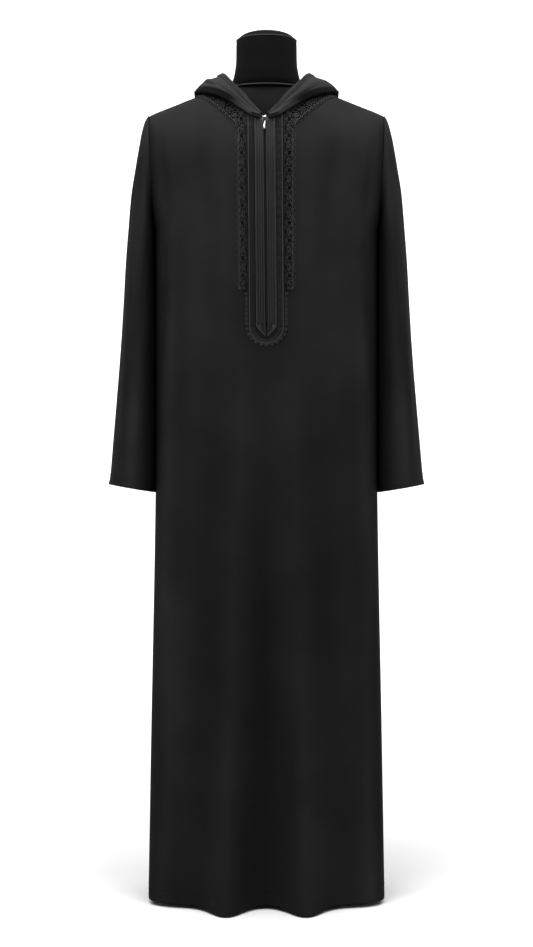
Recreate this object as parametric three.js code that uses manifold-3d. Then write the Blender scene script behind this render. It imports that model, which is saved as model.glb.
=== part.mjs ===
// A hooded, ankle-length zip abaya with scrolled braid, standing on a limbless dress form.
// Millimetres, +Z up. The front faces -Y, and the origin is under the middle of the base plate.
import * as THREE from "three";
import { mergeVertices } from "three/addons/utils/BufferGeometryUtils.js";
import Module from "manifold-3d";

const wasm = await Module();
wasm.setup();

// Driving dimensions of the cut and the drape.
const CLOTH = 1.5; // thickness of every cloth wall
const SEAM_GAP = 0.4; // clear space between two pieces at a seam
const CHEST_HALF = 196; // half width of the body, which is also the scale of the column coordinate
const UNDERARM = 1190;
const CHEST_LINE = 1290; // where the vertical sides end and the shoulders begin to close over
const SHOULDER_TIP = 1391;
const TIP_HALF = 207.4; // half width at the shoulder tips
const ARMHOLE_DEPTH = 58; // half the armhole, front to back
const NECK_HALF = 75; // half width of the neck opening
const NECK_POINT = 1442; // height where shoulder seam and neckline meet
const NECK_SLOPE = 0.39; // rise of the chest towards the neck inside the neck points
const NECK_FRONT = 105; // reach of the neckline in front of the shoulder seam
const NECK_BACK = 72;
const HEM = 8;
const HEM_DIP = 5; // how much lower the hem hangs at a fold this deep or deeper
const DIP_FOLD = 50;
const PLAIN_CENTRE = 20; // columns this close to the centre front keep their distance from it
const LEAN = -3.7; // sideways lean of the zip at the neck
const LEAN_REACH = 110;

// Dimensions of the zip placket.
const ZIP_END = 1009;
const SLIT_HALF = 4.5;
const CHAIN_HALF = 3.6;
const CHAIN_LOW = 1012;
const CHAIN_TOP = 1362;
const TRIM_STEP = 16; // spacing of the sections along the band and the chain
const BAND_IN = 1.2;
const BAND_OUT = 17.8;
const BAND_TIP = 991; // height of the mitred point
const BAND_TOP = 1369;
const TRIM_LIFT = 0.45; // clear space under a trim that lies on the cloth
const BAND_THICK = 2.3;
const BAND_EDGE = 2.2; // width of the raised edges
const BAND_HOLLOW = 0.5;
const LACE_THICK = 1.3;

// Dimensions of the embroidery beside the placket.
const BORDER_IN = 18.4;
const CORD_AT = 28.8;
const CORD_HALF = 1.6;
const CORD_RISE = 0.9;
const BORDER_OUT = 48;
const BORDER_OUT_LOW = 36.5;
const TAPER_TOP = 1076;
const TAPER_END = 1060;
const SCALLOP = 12; // pitch of the scalloped edge
const SCALLOP_DEPTH = 2.4;
const BORDER_TOP = 1351;
const U_BOTTOM = 975;

// Height, half width, front and back depth and squareness of the body's sections.
const BODY = [
  { z: 0, half: 209, front: 86, back: 112, square: 4.0 },
  { z: 300, half: 204, front: 98, back: 115, square: 3.5 },
  { z: 725, half: 196.3, front: 111, back: 119, square: 2.9 },
  { z: 1000, half: 196, front: 117, back: 122, square: 2.6 },
  { z: UNDERARM, half: 197.5, front: 119, back: 124, square: 2.5 },
  { z: CHEST_LINE, half: 202.4, front: 118, back: 122, square: 2.4 },
  { z: SHOULDER_TIP, half: TIP_HALF, front: 118, back: 122, square: 2.4 },
];

// Deep folds that run up from the hem: place, half width, depth at the hem and height where each ends.
const FRONT_FOLDS = [
  { x: -66, width: 34, depth: 64, top: 660 },
  { x: 64, width: 34, depth: 64, top: 700 },
];
const BACK_FOLDS = [
  { x: -112, width: 30, depth: 40, top: 620 },
  { x: -8, width: 38, depth: 52, top: 860 },
  { x: 104, width: 32, depth: 44, top: 700 },
];

// Left sleeve, armhole to cuff: outer and inner edge of each section and half its depth.
const SLEEVE = [
  { outX: 214.5, outZ: 1381, inX: 199.4, inZ: 1184, deep: 60 },
  { outX: 221, outZ: 1357, inX: 199.6, inZ: 1176, deep: 62 },
  { outX: 225.5, outZ: 1328, inX: 199.4, inZ: 1166, deep: 64 },
  { outX: 229.5, outZ: 1297, inX: 199.0, inZ: 1150, deep: 65 },
  { outX: 237.5, outZ: 1243, inX: 198.6, inZ: 1128, deep: 66 },
  { outX: 246.5, outZ: 1142, inX: 198.2, inZ: 1080, deep: 66 },
  { outX: 252.5, outZ: 1050, inX: 198.0, inZ: 1010, deep: 66 },
  { outX: 259.0, outZ: 958, inX: 197.9, inZ: 935, deep: 66 },
  { outX: 265.0, outZ: 885, inX: 197.8, inZ: 865, deep: 66 },
  { outX: 271.0, outZ: 815, inX: 197.7, inZ: 798, deep: 66 },
  { outX: 276.0, outZ: 757, inX: 197.7, inZ: 742, deep: 66 },
  { outX: 279.3, outZ: 737, inX: 197.7, inZ: 722.6, deep: 66.5 },
];
const SLEEVE_COLUMNS = 20;

// The hood, worn down, by the turn round the neck from the centre front. Each row gives how far the
// free edge lies inside the neckline and above it, the brow under the braid where the roll begins,
// the column and height on the body where the roll's foot lies, how far the roll stands off the body
// half way, and how wide the braid on the edge is.
const HOOD = [
  { turn: 5, edgeIn: 1.5, edgeUp: 5, browOut: 3, browUp: 5.2, footC: 9, footZ: 1367, puff: 8.4, braid: 5 },
  { turn: 16, edgeIn: 3, edgeUp: 13, browOut: 1.5, browUp: 8, footC: 26, footZ: 1373, puff: 9.2, braid: 9 },
  { turn: 28, edgeIn: 5, edgeUp: 18.5, browOut: 1, browUp: 9.4, footC: 42, footZ: 1384, puff: 12, braid: 11 },
  { turn: 42, edgeIn: 5, edgeUp: 19.6, browOut: 1.5, browUp: 10.6, footC: 60, footZ: 1396, puff: 13.5, braid: 11 },
  { turn: 56, edgeIn: 4.5, edgeUp: 19.8, browOut: 3, browUp: 11.8, footC: 79, footZ: 1407, puff: 16, braid: 11 },
  { turn: 68, edgeIn: 3.5, edgeUp: 22.3, browOut: 5, browUp: 15.5, footC: 99, footZ: 1415.5, puff: 18.5, braid: 11 },
  { turn: 80, edgeIn: 0.5, edgeUp: 22.8, browOut: 8.5, browUp: 17.5, footC: 115, footZ: 1422, puff: 20, braid: 11 },
  { turn: 92, edgeIn: 0, edgeUp: 22.5, browOut: 10, browUp: 18, footC: 119, footZ: 1421, puff: 21, braid: 11 },
  { turn: 106, edgeIn: 1.5, edgeUp: 21.5, browOut: 9, browUp: 18, footC: 119, footZ: 1392, puff: 24, braid: 11 },
  { turn: 122, edgeIn: 2, edgeUp: 20.5, browOut: 8.5, browUp: 17, footC: 112, footZ: 1345, puff: 30, braid: 11 },
  { turn: 138, edgeIn: 3, edgeUp: 19.5, browOut: 8, browUp: 16, footC: 92, footZ: 1275, puff: 36, braid: 11 },
  { turn: 153, edgeIn: 3, edgeUp: 19, browOut: 8, browUp: 15.5, footC: 60, footZ: 1212, puff: 40, braid: 11 },
  { turn: 167, edgeIn: 3, edgeUp: 18.5, browOut: 8, browUp: 15, footC: 26, footZ: 1168, puff: 42, braid: 11 },
  { turn: 180, edgeIn: 3, edgeUp: 18.5, browOut: 8, browUp: 15, footC: 0, footZ: 1146, puff: 42, braid: 11 },
];
const HOOD_PUFF_AT = 0.55; // where the roll stands off most, as a share of the way to its foot
const HOOD_UNDER_LIFT = 2.4; // under the roll, plus a share of how far it stands off
const HOOD_UNDER_SHARE = 0.12;
const HOOD_UNDER_AT = [0.72, 0.5, 0.3, 0.14]; // places of the lower layer on the way back to the seam
const HOOD_SEAM_LIFT = 1.7;
const HOOD_SEAM_OUT = 1.3;
// Height of the fold at the roll's foot, which grows with how far the roll stands off.
const HOOD_FOLD = { least: 2.6, share: 0.28, most: 7 };
// Where a section has its points: the free edge 0, brow 1, widest 2, fold 3 to 7 and seam 12.
const HOOD_STATIONS = [0, 0.5, 1, 1.33, 1.67, 2, 2.33, 2.67, 3, 4, 5, 6, 7, 8, 9, 10, 11, 12];
const HOOD_BRAID_LIFT = 0.7;
const PIPING_RADIUS = 1.7;

// The dress form: half width and depth of its sections, from the hips up to the neck block.
const FORM = [
  { z: 690, half: 150, front: 88, back: 92 },
  { z: 760, half: 158, front: 94, back: 98 },
  { z: 880, half: 154, front: 93, back: 96 },
  { z: 1010, half: 148, front: 92, back: 94 },
  { z: 1130, half: 160, front: 98, back: 100 },
  { z: 1240, half: 176, front: 101, back: 104 },
  { z: 1310, half: 180, front: 98, back: 102 },
  { z: 1350, half: 179, front: 91, back: 96 },
  { z: 1376, half: 176, front: 84, back: 88 },
  { z: 1394, half: 166, front: 78, back: 81 },
  { z: 1410, half: 138, front: 68, back: 68 },
  { z: 1424, half: 105, front: 55, back: 56 },
  { z: 1436, half: 76, front: 45, back: 47 },
];
const NECK = [
  { z: 1436.3, half: 66, front: 45, back: 46 },
  { z: 1446, half: 63, front: 52, back: 50 },
  { z: 1462, half: 58, front: 54, back: 51 },
  { z: 1484, half: 54.5, front: 54, back: 52 },
  { z: 1521, half: 53.6, front: 54, back: 52 },
  { z: 1527, half: 52.2, front: 52.6, back: 50.6 },
];
const NECK_CAP = [
  { z: 1527.3, half: 50.4, front: 50.8, back: 48.8 },
  { z: 1533, half: 45, front: 45.5, back: 43.5 },
  { z: 1538.5, half: 31, front: 32, back: 30 },
  { z: 1541, half: 12, front: 12, back: 12 },
];
const FORM_SIDES = 28;
const POLE_RADIUS = 16;
const FLANGE_RADIUS = 34;
const FLANGE_THICK = 14;
const BASE_HALF_X = 150;
const BASE_HALF_Y = 66;
const BASE_THICK = 10;
const BASE_ROUND = 1.5;

// Dimensions of the zip's slider and pull tab.
const SLIDER_AT = 1366; // height on the front
const SLIDER_WIDE = 8.6;
const SLIDER_LONG = 11;
const PLATE_THICK = 1.8;
const KEEL_WIDE = 1.5;
const KEEL_DEEP = 2.6;
const CROWN_WIDE = 2.4;
const CROWN_OUT = 4.4;
const CROWN_IN = 2.8;
const HINGE_RISE = 1.5; // height of the tab's crossbar over the plate
const TAB_THICK = 1.1;
const TAB_WIDE = 5.2;
const TAB_WINDOW = 3.2; // width of the window that straddles the crown
const TAB_WINDOW_LONG = 6.4;
const TAB_LONG = 21;
const TAB_TILT = 6.5; // degrees that the tab leans in to lie on the placket

const colours = {
  cloth: 0x1b1b1d,
  satin: 0x3a3a3e,
  thread: 0x26262a,
  form: 0x121214,
  metal: 0xc9cacc,
  enamel: 0x0d0d0f,
};

function material(colour, roughness, metalness = 0) {
  return new THREE.MeshStandardMaterial({ color: colour, roughness, metalness });
}

const materials = {
  cloth: material(colours.cloth, 0.85),
  satin: material(colours.satin, 0.45),
  thread: material(colours.thread, 0.6),
  form: material(colours.form, 0.9),
  metal: material(colours.metal, 0.25, 1),
  enamel: material(colours.enamel, 0.4, 0.3),
};

const quarter = Math.PI / 2;
const radians = (degrees) => (degrees * Math.PI) / 180;
const mix = (a, b, share) => a + (b - a) * share;
const vector = (x, y, z) => new THREE.Vector3(x, y, z);

// Smooth value of a table's column at a place along its key, by cubic pieces.
function track(table, key, column, at) {
  const last = table.length - 1;
  const clamped = Math.min(Math.max(at, table[0][key]), table[last][key]);
  let i = 0;
  while (i < last - 1 && table[i + 1][key] < clamped) i += 1;
  const slope = (k) => {
    const low = table[Math.max(k - 1, 0)];
    const high = table[Math.min(k + 1, last)];
    return (high[column] - low[column]) / (high[key] - low[key]);
  };
  const from = table[i];
  const to = table[i + 1];
  const span = to[key] - from[key];
  const t = (clamped - from[key]) / span;
  const t2 = t * t;
  const t3 = t2 * t;
  return (
    (2 * t3 - 3 * t2 + 1) * from[column] +
    (t3 - 2 * t2 + t) * span * slope(i) +
    (3 * t2 - 2 * t3) * to[column] +
    (t3 - t2) * span * slope(i + 1)
  );
}

// Triangles to a closed geometry that faces out.
function closed(corners) {
  let volume = 0;
  for (let i = 0; i < corners.length; i += 3) {
    volume += corners[i].dot(corners[i + 1].clone().cross(corners[i + 2]));
  }
  if (volume < 0) {
    for (let i = 0; i < corners.length; i += 3) {
      [corners[i + 1], corners[i + 2]] = [corners[i + 2], corners[i + 1]];
    }
  }
  return new THREE.BufferGeometry().setFromPoints(corners);
}

// A sheet between two grids of points. keep says which cells it has, and ring joins its sides.
function sheet(outer, inner, { keep = () => true, ring = false } = {}) {
  const corners = [];
  const rows = outer.length - 1;
  const columns = ring ? outer[0].length : outer[0].length - 1;
  const has = (i, j) => {
    if (i < 0 || i >= rows) return false;
    if (ring) return keep(i, (j + columns) % columns);
    return j >= 0 && j < columns && keep(i, j);
  };
  const quad = (a, b, c, d) => corners.push(a, b, c, a, c, d);
  for (let i = 0; i < rows; i += 1) {
    for (let j = 0; j < columns; j += 1) {
      if (!has(i, j)) continue;
      const k = ring ? (j + 1) % columns : j + 1;
      const [a, b, c, d] = [outer[i][j], outer[i][k], outer[i + 1][k], outer[i + 1][j]];
      const [e, f, g, h] = [inner[i][j], inner[i][k], inner[i + 1][k], inner[i + 1][j]];
      quad(a, b, c, d);
      corners.push(e, g, f, e, h, g);
      if (!has(i - 1, j)) quad(a, e, f, b);
      if (!has(i + 1, j)) quad(c, g, h, d);
      if (!has(i, j - 1)) quad(d, h, e, a);
      if (!has(i, j + 1)) quad(b, f, g, c);
    }
  }
  return closed(corners);
}

// A solid through closed rings of points, with flat ends.
function stack(rings) {
  const corners = [];
  const count = rings[0].length;
  for (let i = 0; i < rings.length - 1; i += 1) {
    for (let j = 0; j < count; j += 1) {
      const k = (j + 1) % count;
      const [a, b, c, d] = [rings[i][j], rings[i][k], rings[i + 1][k], rings[i + 1][j]];
      corners.push(a, b, c, a, c, d);
    }
  }
  const cap = (ring, turned) => {
    const middle = ring.reduce((sum, p) => sum.add(p), vector(0, 0, 0)).divideScalar(count);
    for (let j = 0; j < count; j += 1) {
      const k = (j + 1) % count;
      corners.push(middle, ...(turned ? [ring[k], ring[j]] : [ring[j], ring[k]]));
    }
  };
  cap(rings[0], true);
  cap(rings[rings.length - 1], false);
  return closed(corners);
}

// Directions off a grid by its neighbours. facing, a function of a point, picks the side.
function gridNormals(grid, facing = null, ring = false) {
  const rows = grid.length;
  const columns = grid[0].length;
  return grid.map((row, i) =>
    row.map((point, j) => {
      const up = grid[Math.min(i + 1, rows - 1)][j].clone().sub(grid[Math.max(i - 1, 0)][j]);
      const left = ring ? row[(j + columns - 1) % columns] : row[Math.max(j - 1, 0)];
      const right = ring ? row[(j + 1) % columns] : row[Math.min(j + 1, columns - 1)];
      const normal = right.clone().sub(left).cross(up).normalize();
      return facing && normal.dot(facing(point, i, j)) < 0 ? normal.negate() : normal;
    }),
  );
}

function moved(grid, normals, distance) {
  return grid.map((row, i) => row.map((p, j) => p.clone().addScaledVector(normals[i][j], distance)));
}

// Height of the shoulder ridge over a column. Inside the neck points it is where the chest would
// reach if it had no opening.
function ridge(column) {
  const out = Math.abs(column);
  if (out < NECK_HALF) return NECK_POINT + (NECK_HALF - out) * NECK_SLOPE;
  const share = (out - NECK_HALF) / (CHEST_HALF - NECK_HALF);
  return mix(NECK_POINT, SHOULDER_TIP, share);
}

function folds(list, x, z) {
  return list.reduce((sum, fold) => {
    const rise = Math.max(0, 1 - z / fold.top);
    return sum + fold.depth * rise ** 1.3 * Math.exp(-(((x - fold.x) / fold.width) ** 2));
  }, 0);
}

// Depth of the body at a column and a height no higher than the chest line.
function depthAt(side, column, z) {
  const share = Math.min(1, Math.abs(column) / CHEST_HALF);
  const full = track(BODY, "z", side < 0 ? "front" : "back", z);
  const square = track(BODY, "z", "square", z);
  const above = (z - CHEST_LINE) / (CHEST_LINE - UNDERARM);
  const edge = z > UNDERARM ? ARMHOLE_DEPTH * Math.sqrt(Math.max(0, 1 - above * above)) : 0;
  const round = (1 - share ** square) ** (1 / square);
  return mix(edge, full, round) + folds(side < 0 ? FRONT_FOLDS : BACK_FOLDS, column, z) * round;
}

// A point of the body's outer face. level runs from 0 at the hem to 1 at the chest line and 2 at
// the shoulder ridge, where the panels meet.
function bodyPoint(side, column, level) {
  const domed = level > 1;
  const lowest = HEM - HEM_DIP * Math.min(1, folds(side < 0 ? FRONT_FOLDS : BACK_FOLDS, column, 0) / DIP_FOLD);
  const turn = Math.max(0, level - 1) * quarter;
  const top = ridge(column);
  const z = domed ? mix(CHEST_LINE, top, Math.sin(turn)) : mix(lowest, CHEST_LINE, level);
  const depth = depthAt(side, column, Math.min(z, CHEST_LINE)) * (domed ? Math.cos(turn) : 1);
  const half = track(BODY, "z", "half", z);
  const out = Math.abs(column);
  const spread = (half - PLAIN_CENTRE) / (CHEST_HALF - PLAIN_CENTRE);
  const x = out < PLAIN_CENTRE ? out : PLAIN_CENTRE + (out - PLAIN_CENTRE) * spread;
  const lean = side < 0 ? leanAt(z) * Math.max(0, 1 - out / LEAN_REACH) : 0;
  return vector(Math.sign(column) * x + lean, side * (SEAM_GAP / 2 + depth), z);
}

function leanAt(z) {
  return (LEAN * Math.min(Math.max(z - ZIP_END, 0), SHOULDER_TIP - ZIP_END)) / (SHOULDER_TIP - ZIP_END);
}

// The level of a height over a column.
function levelOf(column, z) {
  if (z <= CHEST_LINE) return (z - HEM) / (CHEST_LINE - HEM);
  const share = Math.min(1, (z - CHEST_LINE) / (ridge(column) - CHEST_LINE));
  return 1 + Math.asin(share) / quarter;
}

// Outward direction of the body's face, from points a small step away in level and in column.
function bodyNormal(side, column, level) {
  const step = 0.004;
  const low = bodyPoint(side, column, Math.max(0, level - step));
  const high = bodyPoint(side, column, Math.min(2, level + step));
  const left = bodyPoint(side, Math.max(column - 1, -CHEST_HALF), level);
  const right = bodyPoint(side, Math.min(column + 1, CHEST_HALF), level);
  const normal = right.sub(left).cross(high.sub(low)).normalize();
  return side < 0 ? normal : normal.negate();
}

// A point at a distance off the body's outer face, by column and height.
function offBody(side, column, z, distance) {
  const level = levelOf(column, z);
  return bodyPoint(side, column, level).addScaledVector(bodyNormal(side, column, level), distance);
}

// The level of the neckline over a column inside the neck points.
function necklineLevel(side, column) {
  const reach = side < 0 ? NECK_FRONT : NECK_BACK;
  const share = Math.min(1, Math.abs(column) / NECK_HALF);
  const forward = reach * Math.sqrt(1 - share * share);
  return 1 + Math.acos(Math.min(1, forward / depthAt(side, column, CHEST_LINE))) / quarter;
}

const HALF_COLUMNS = [SLIT_HALF, 20, 38, 55, 67, NECK_HALF, 95, 117, 138, 157, 172, 184, 192, CHEST_HALF];
const COLUMNS = [...HALF_COLUMNS.map((c) => -c).reverse(), ...HALF_COLUMNS];
const ROW_HEIGHTS = [60, 125, 200, 285, 380, 490, 620, 760, 890, ZIP_END, 1075, 1135];
const ARMHOLE_HEIGHTS = [UNDERARM, 1202, 1222, 1253, CHEST_LINE];
const DOME_SHARES = [0.2, 0.39, 0.57, 0.73, 0.88, 1];

function panelGrid(side) {
  const levels = [0, ...[...ROW_HEIGHTS, ...ARMHOLE_HEIGHTS].map((z) => levelOf(0, z))];
  const rows = levels.map((level) => COLUMNS.map((c) => bodyPoint(side, c, level)));
  const dome = DOME_SHARES.map((share) =>
    COLUMNS.map((c) => {
      const inside = Math.abs(c) < NECK_HALF;
      const top = inside ? necklineLevel(side, c) : 2;
      return bodyPoint(side, c, 1 + (top - 1) * share);
    }),
  );
  return [...rows, ...dome];
}

function panel(side) {
  const grid = panelGrid(side);
  const outward = (p) => vector(p.x * 0.4, side * 100, Math.max(0, p.z - CHEST_LINE) * 4);
  const normals = gridNormals(grid, outward);
  const slitColumn = HALF_COLUMNS.length - 1;
  const slitRow = ROW_HEIGHTS.indexOf(ZIP_END) + 1;
  const keep = (i, j) => side > 0 || j !== slitColumn || i < slitRow;
  const inner = moved(grid, normals, -CLOTH).map((row) =>
    row.map((p) => vector(p.x, side * Math.max(side * p.y, SEAM_GAP / 2), p.z)),
  );
  return sheet(grid, inner, { keep });
}

// A strip on the front, between two column functions, over a list of heights.
function frontStrip(heights, columnsAt, thickness, lifts) {
  const grid = (extra) =>
    heights.map((z) =>
      columnsAt(z).map((c, j) => offBody(-1, c, z, TRIM_LIFT + extra * (thickness + lifts[j]))),
    );
  return sheet(grid(1), grid(0));
}

function evenHeights(low, high, step) {
  const count = Math.max(1, Math.round((high - low) / step));
  return Array.from({ length: count + 1 }, (_, i) => mix(low, high, i / count));
}

function placketBand(side) {
  const mitre = evenHeights(BAND_TIP, ZIP_END, (ZIP_END - BAND_TIP) / 3);
  const heights = [...mitre, ...evenHeights(ZIP_END + TRIM_STEP, BAND_TOP, TRIM_STEP)];
  const columnsAt = (z) => {
    const share = Math.min(1, (z - BAND_TIP) / (ZIP_END - BAND_TIP));
    const wide = Math.max(CLOTH, share * (BAND_OUT - BAND_IN));
    const edge = Math.min(BAND_EDGE, wide / 3);
    return [0, edge, wide / 2, wide - edge, wide].map((w) => side * (BAND_IN + w));
  };
  return frontStrip(heights, columnsAt, BAND_THICK, [0, 0, -BAND_HOLLOW, 0, 0]);
}

function zipChain() {
  const heights = evenHeights(CHAIN_LOW, CHAIN_TOP, TRIM_STEP);
  const grid = (depth) =>
    heights.map((z) => [-CHAIN_HALF, 0, CHAIN_HALF].map((c) => offBody(-1, c, z, depth)));
  return sheet(grid(0), grid(-CLOTH));
}

function scallopAt(distance) {
  const share = (distance / SCALLOP) % 1;
  return SCALLOP_DEPTH * Math.sin(Math.PI * Math.min(Math.max(share, 0), 1));
}

function borderEdge(z) {
  if (z > TAPER_TOP) return BORDER_OUT + scallopAt(z - TAPER_TOP);
  const share = Math.min(1, (TAPER_TOP - z) / (TAPER_TOP - TAPER_END));
  return mix(BORDER_OUT, BORDER_OUT_LOW, share);
}

function embroideryBorder(side) {
  const heights = evenHeights(ZIP_END + 1, BORDER_TOP, SCALLOP / 2);
  const columnsAt = (z) =>
    [BORDER_IN, CORD_AT - CORD_HALF, CORD_AT + CORD_HALF, borderEdge(z)].map((c) => side * c);
  return frontStrip(heights, columnsAt, LACE_THICK, [0, CORD_RISE, CORD_RISE, 0]);
}

// The rounded foot of the embroidery, a U that runs under the placket's point.
function embroideryFoot() {
  const across = [
    { t: 0, rise: 0 },
    { t: 0.34, rise: 0 },
    { t: 0.5, rise: CORD_RISE },
    { t: 0.66, rise: 0 },
    { t: 1, rise: 0 },
  ];
  const [inTop, inLow] = [ZIP_END - 1, BAND_TIP - 4];
  const grid = (extra) =>
    evenHeights(0, Math.PI, Math.PI / 16).map((turn) => {
      const outer = { c: -BORDER_OUT_LOW * Math.cos(turn), z: mix(ZIP_END, U_BOTTOM, Math.sin(turn)) };
      const inner = { c: -BORDER_IN * Math.cos(turn), z: mix(inTop, inLow, Math.sin(turn)) };
      return across.map(({ t, rise }) =>
        offBody(
          -1,
          mix(inner.c, outer.c, t),
          mix(inner.z, outer.z, t),
          TRIM_LIFT + extra * (LACE_THICK + rise),
        ),
      );
    });
  return sheet(grid(1), grid(0));
}

// The scalloped border from the placket's own border up to the shoulder seam, between two ellipses in
// plan that share the neck's centre.
const NECK_BORDER = {
  innerX: 78,
  innerY: 107.5,
  outerX: 119,
  outerY: 118.5,
  start: 13.5,
  corner: 26,
  end: 86,
};

// Column and level on the front over a plan ellipse.
function overEllipse(halfX, halfY, turn) {
  const column = halfX * Math.sin(turn);
  const forward = Math.min(halfY * Math.cos(turn), depthAt(-1, column, CHEST_LINE));
  return { column, level: 1 + Math.acos(forward / depthAt(-1, column, CHEST_LINE)) / quarter };
}

function neckBorder(side) {
  const { innerX, innerY, outerX, outerY, start, corner, end } = NECK_BORDER;
  const turns = [...evenHeights(start, corner, 4).slice(0, -1), ...evenHeights(corner, end, 3)];
  const foot = BORDER_TOP + 1;
  const grid = (extra) =>
    turns.map((degrees) => {
      const inner = overEllipse(innerX, innerY, radians(degrees));
      const distance = radians(degrees - corner) * outerX;
      const bump = degrees > corner ? scallopAt(distance) : 0;
      const share = (degrees - start) / (corner - start);
      const column = mix(BORDER_IN + SEAM_GAP, outerX * Math.sin(radians(corner)), share);
      const outer =
        degrees < corner
          ? { column, level: levelOf(column, foot) }
          : overEllipse(outerX + bump, outerY + bump, radians(degrees));
      return [0, 0.34, 0.67, 1].map((t) => {
        const at = side * mix(outer.column, inner.column, t);
        const level = mix(outer.level, inner.level, t);
        const lift = TRIM_LIFT + extra * LACE_THICK;
        return bodyPoint(-1, at, level).addScaledVector(bodyNormal(-1, at, level), lift);
      });
    });
  return sheet(grid(1), grid(0));
}

// A sleeve, a tube from the armhole to the cuff.
function sleeveGrid(side) {
  const armhole = {
    outX: TIP_HALF + 2.5 * SEAM_GAP,
    outZ: SHOULDER_TIP,
    inX: 197.5 + SEAM_GAP,
    inZ: UNDERARM,
    deep: ARMHOLE_DEPTH,
  };
  return [armhole, ...SLEEVE].map((row) =>
    Array.from({ length: SLEEVE_COLUMNS }, (_, j) => {
      const turn = (2 * Math.PI * j) / SLEEVE_COLUMNS;
      const share = (1 + Math.cos(turn)) / 2;
      const [x, z] = [mix(row.inX, row.outX, share), mix(row.inZ, row.outZ, share)];
      return vector(side * x, row.deep * Math.sin(turn), z);
    }),
  );
}

function sleeve(side) {
  const grid = sleeveGrid(side);
  const outward = (p, i) => {
    const row = grid[i];
    const middle = row[0].clone().add(row[SLEEVE_COLUMNS / 2]).multiplyScalar(0.5);
    return p.clone().sub(middle);
  };
  const normals = gridNormals(grid, outward, true);
  return sheet(grid, moved(grid, normals, -CLOTH), { ring: true });
}

// The hood's section at a row of its table, from the free edge over the roll, round the fold at its
// foot and back under it to the neckline seam. inset moves it to the inner face of the cloth.
function hoodSection(side, row, inset) {
  const turn = radians(row.turn);
  const front = Math.cos(turn) > 0;
  const face = front ? -1 : 1;
  const out = vector(side * Math.sin(turn), -Math.cos(turn), 0);
  const column = Math.max(NECK_HALF * Math.sin(turn), 0.5);
  const level = Math.min(necklineLevel(face, column), 2);
  const footLevel = levelOf(row.footC, row.footZ);
  const between = (share, distance) => {
    const [c, l] = [side * mix(column, row.footC, share), mix(level, footLevel, share)];
    return bodyPoint(face, c, l).addScaledVector(bodyNormal(face, c, l), distance);
  };
  // Square to the way between two points, in the section's upright plane, on the visible side.
  const aside = (from, to) => {
    const way = to.clone().sub(from);
    return out.clone().multiplyScalar(-way.z).add(vector(0, 0, way.dot(out))).normalize();
  };
  const onBody = between(0, 0);
  const edge = onBody.clone().addScaledVector(out, -row.edgeIn).add(vector(0, 0, row.edgeUp));
  const brow = onBody.clone().addScaledVector(out, row.browOut).add(vector(0, 0, row.browUp));
  const length = between(1, 0).distanceTo(onBody);
  const underLift = HOOD_UNDER_LIFT + HOOD_UNDER_SHARE * row.puff;
  const round = Math.min(HOOD_FOLD.most, HOOD_FOLD.least + HOOD_FOLD.share * row.puff, 0.9 * length) / 2;
  const reach = round / length;
  const widestAt = HOOD_PUFF_AT * (1 - reach);
  const widest = between(widestAt, row.puff);
  const fold = [90, 45, 0, -45, -90].map((degrees) => {
    const [ahead, up] = [Math.cos(radians(degrees)), Math.sin(radians(degrees))];
    const share = 1 - reach * (1 - ahead * (1 - inset / round));
    return between(share, underLift + round + (round - inset) * up);
  });
  const under = HOOD_UNDER_AT.map((share) => between(share * (1 - reach), underLift + inset));
  const seam = between(0, HOOD_SEAM_LIFT + inset).addScaledVector(out, HOOD_SEAM_OUT);
  const stops = [
    edge.clone().addScaledVector(aside(edge, brow), -inset),
    brow.clone().addScaledVector(aside(edge, widest), -inset),
    between(widestAt, row.puff - inset),
    ...fold,
    ...under,
    seam,
  ];
  const curve = new THREE.CatmullRomCurve3(stops, false, "centripetal");
  return HOOD_STATIONS.map((at) => curve.getPoint(at / (stops.length - 1)));
}

function hoodGrid(side, inset = 0) {
  return HOOD.map((row) => hoodSection(side, row, inset));
}

// Directions off the roll's visible side, told by its brow, which faces up.
function hoodNormals(grid) {
  const normals = gridNormals(grid);
  const brow = normals[Math.floor(grid.length / 2)][HOOD_STATIONS.indexOf(1)];
  return brow.z > 0 ? normals : normals.map((row) => row.map((normal) => normal.negate()));
}

// Keeps a grid on its own side of the centre seam.
function ownSide(grid, side, gap) {
  return grid.map((row) => row.map((p) => vector(side * Math.max(side * p.x, gap), p.y, p.z)));
}

function hoodHalf(side) {
  const [outer, inner] = [hoodGrid(side), hoodGrid(side, CLOTH)];
  return sheet(ownSide(outer, side, SEAM_GAP / 2), ownSide(inner, side, SEAM_GAP / 2));
}

// The braid along the hood's free edge, made from the hood's own points moved out. Its places are
// shares of its width, and its rises are heights over the hood.
function hoodBraid(side) {
  const grid = hoodGrid(side);
  const normals = hoodNormals(grid);
  const places = [
    { share: 0.04, rise: 1.1 },
    { share: 0.3, rise: 1.1 },
    { share: 0.42, rise: 0.6 },
    { share: 0.6, rise: 1.1 },
    { share: 1, rise: 1.1 },
  ];
  const made = (top) =>
    grid.map((row, i) =>
      places.map(({ share: from, rise }) => {
        let [j, left] = [0, from * HOOD[i].braid];
        while (left > row[j].distanceTo(row[j + 1])) {
          left -= row[j].distanceTo(row[j + 1]);
          j += 1;
        }
        const share = left / row[j].distanceTo(row[j + 1]);
        const normal = normals[i][j].clone().lerp(normals[i][j + 1], share).normalize();
        const lift = HOOD_BRAID_LIFT + (top ? rise : 0);
        return row[j].clone().lerp(row[j + 1], share).addScaledVector(normal, lift);
      }),
    );
  return sheet(ownSide(made(true), side, SEAM_GAP / 2), ownSide(made(false), side, SEAM_GAP / 2));
}

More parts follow.
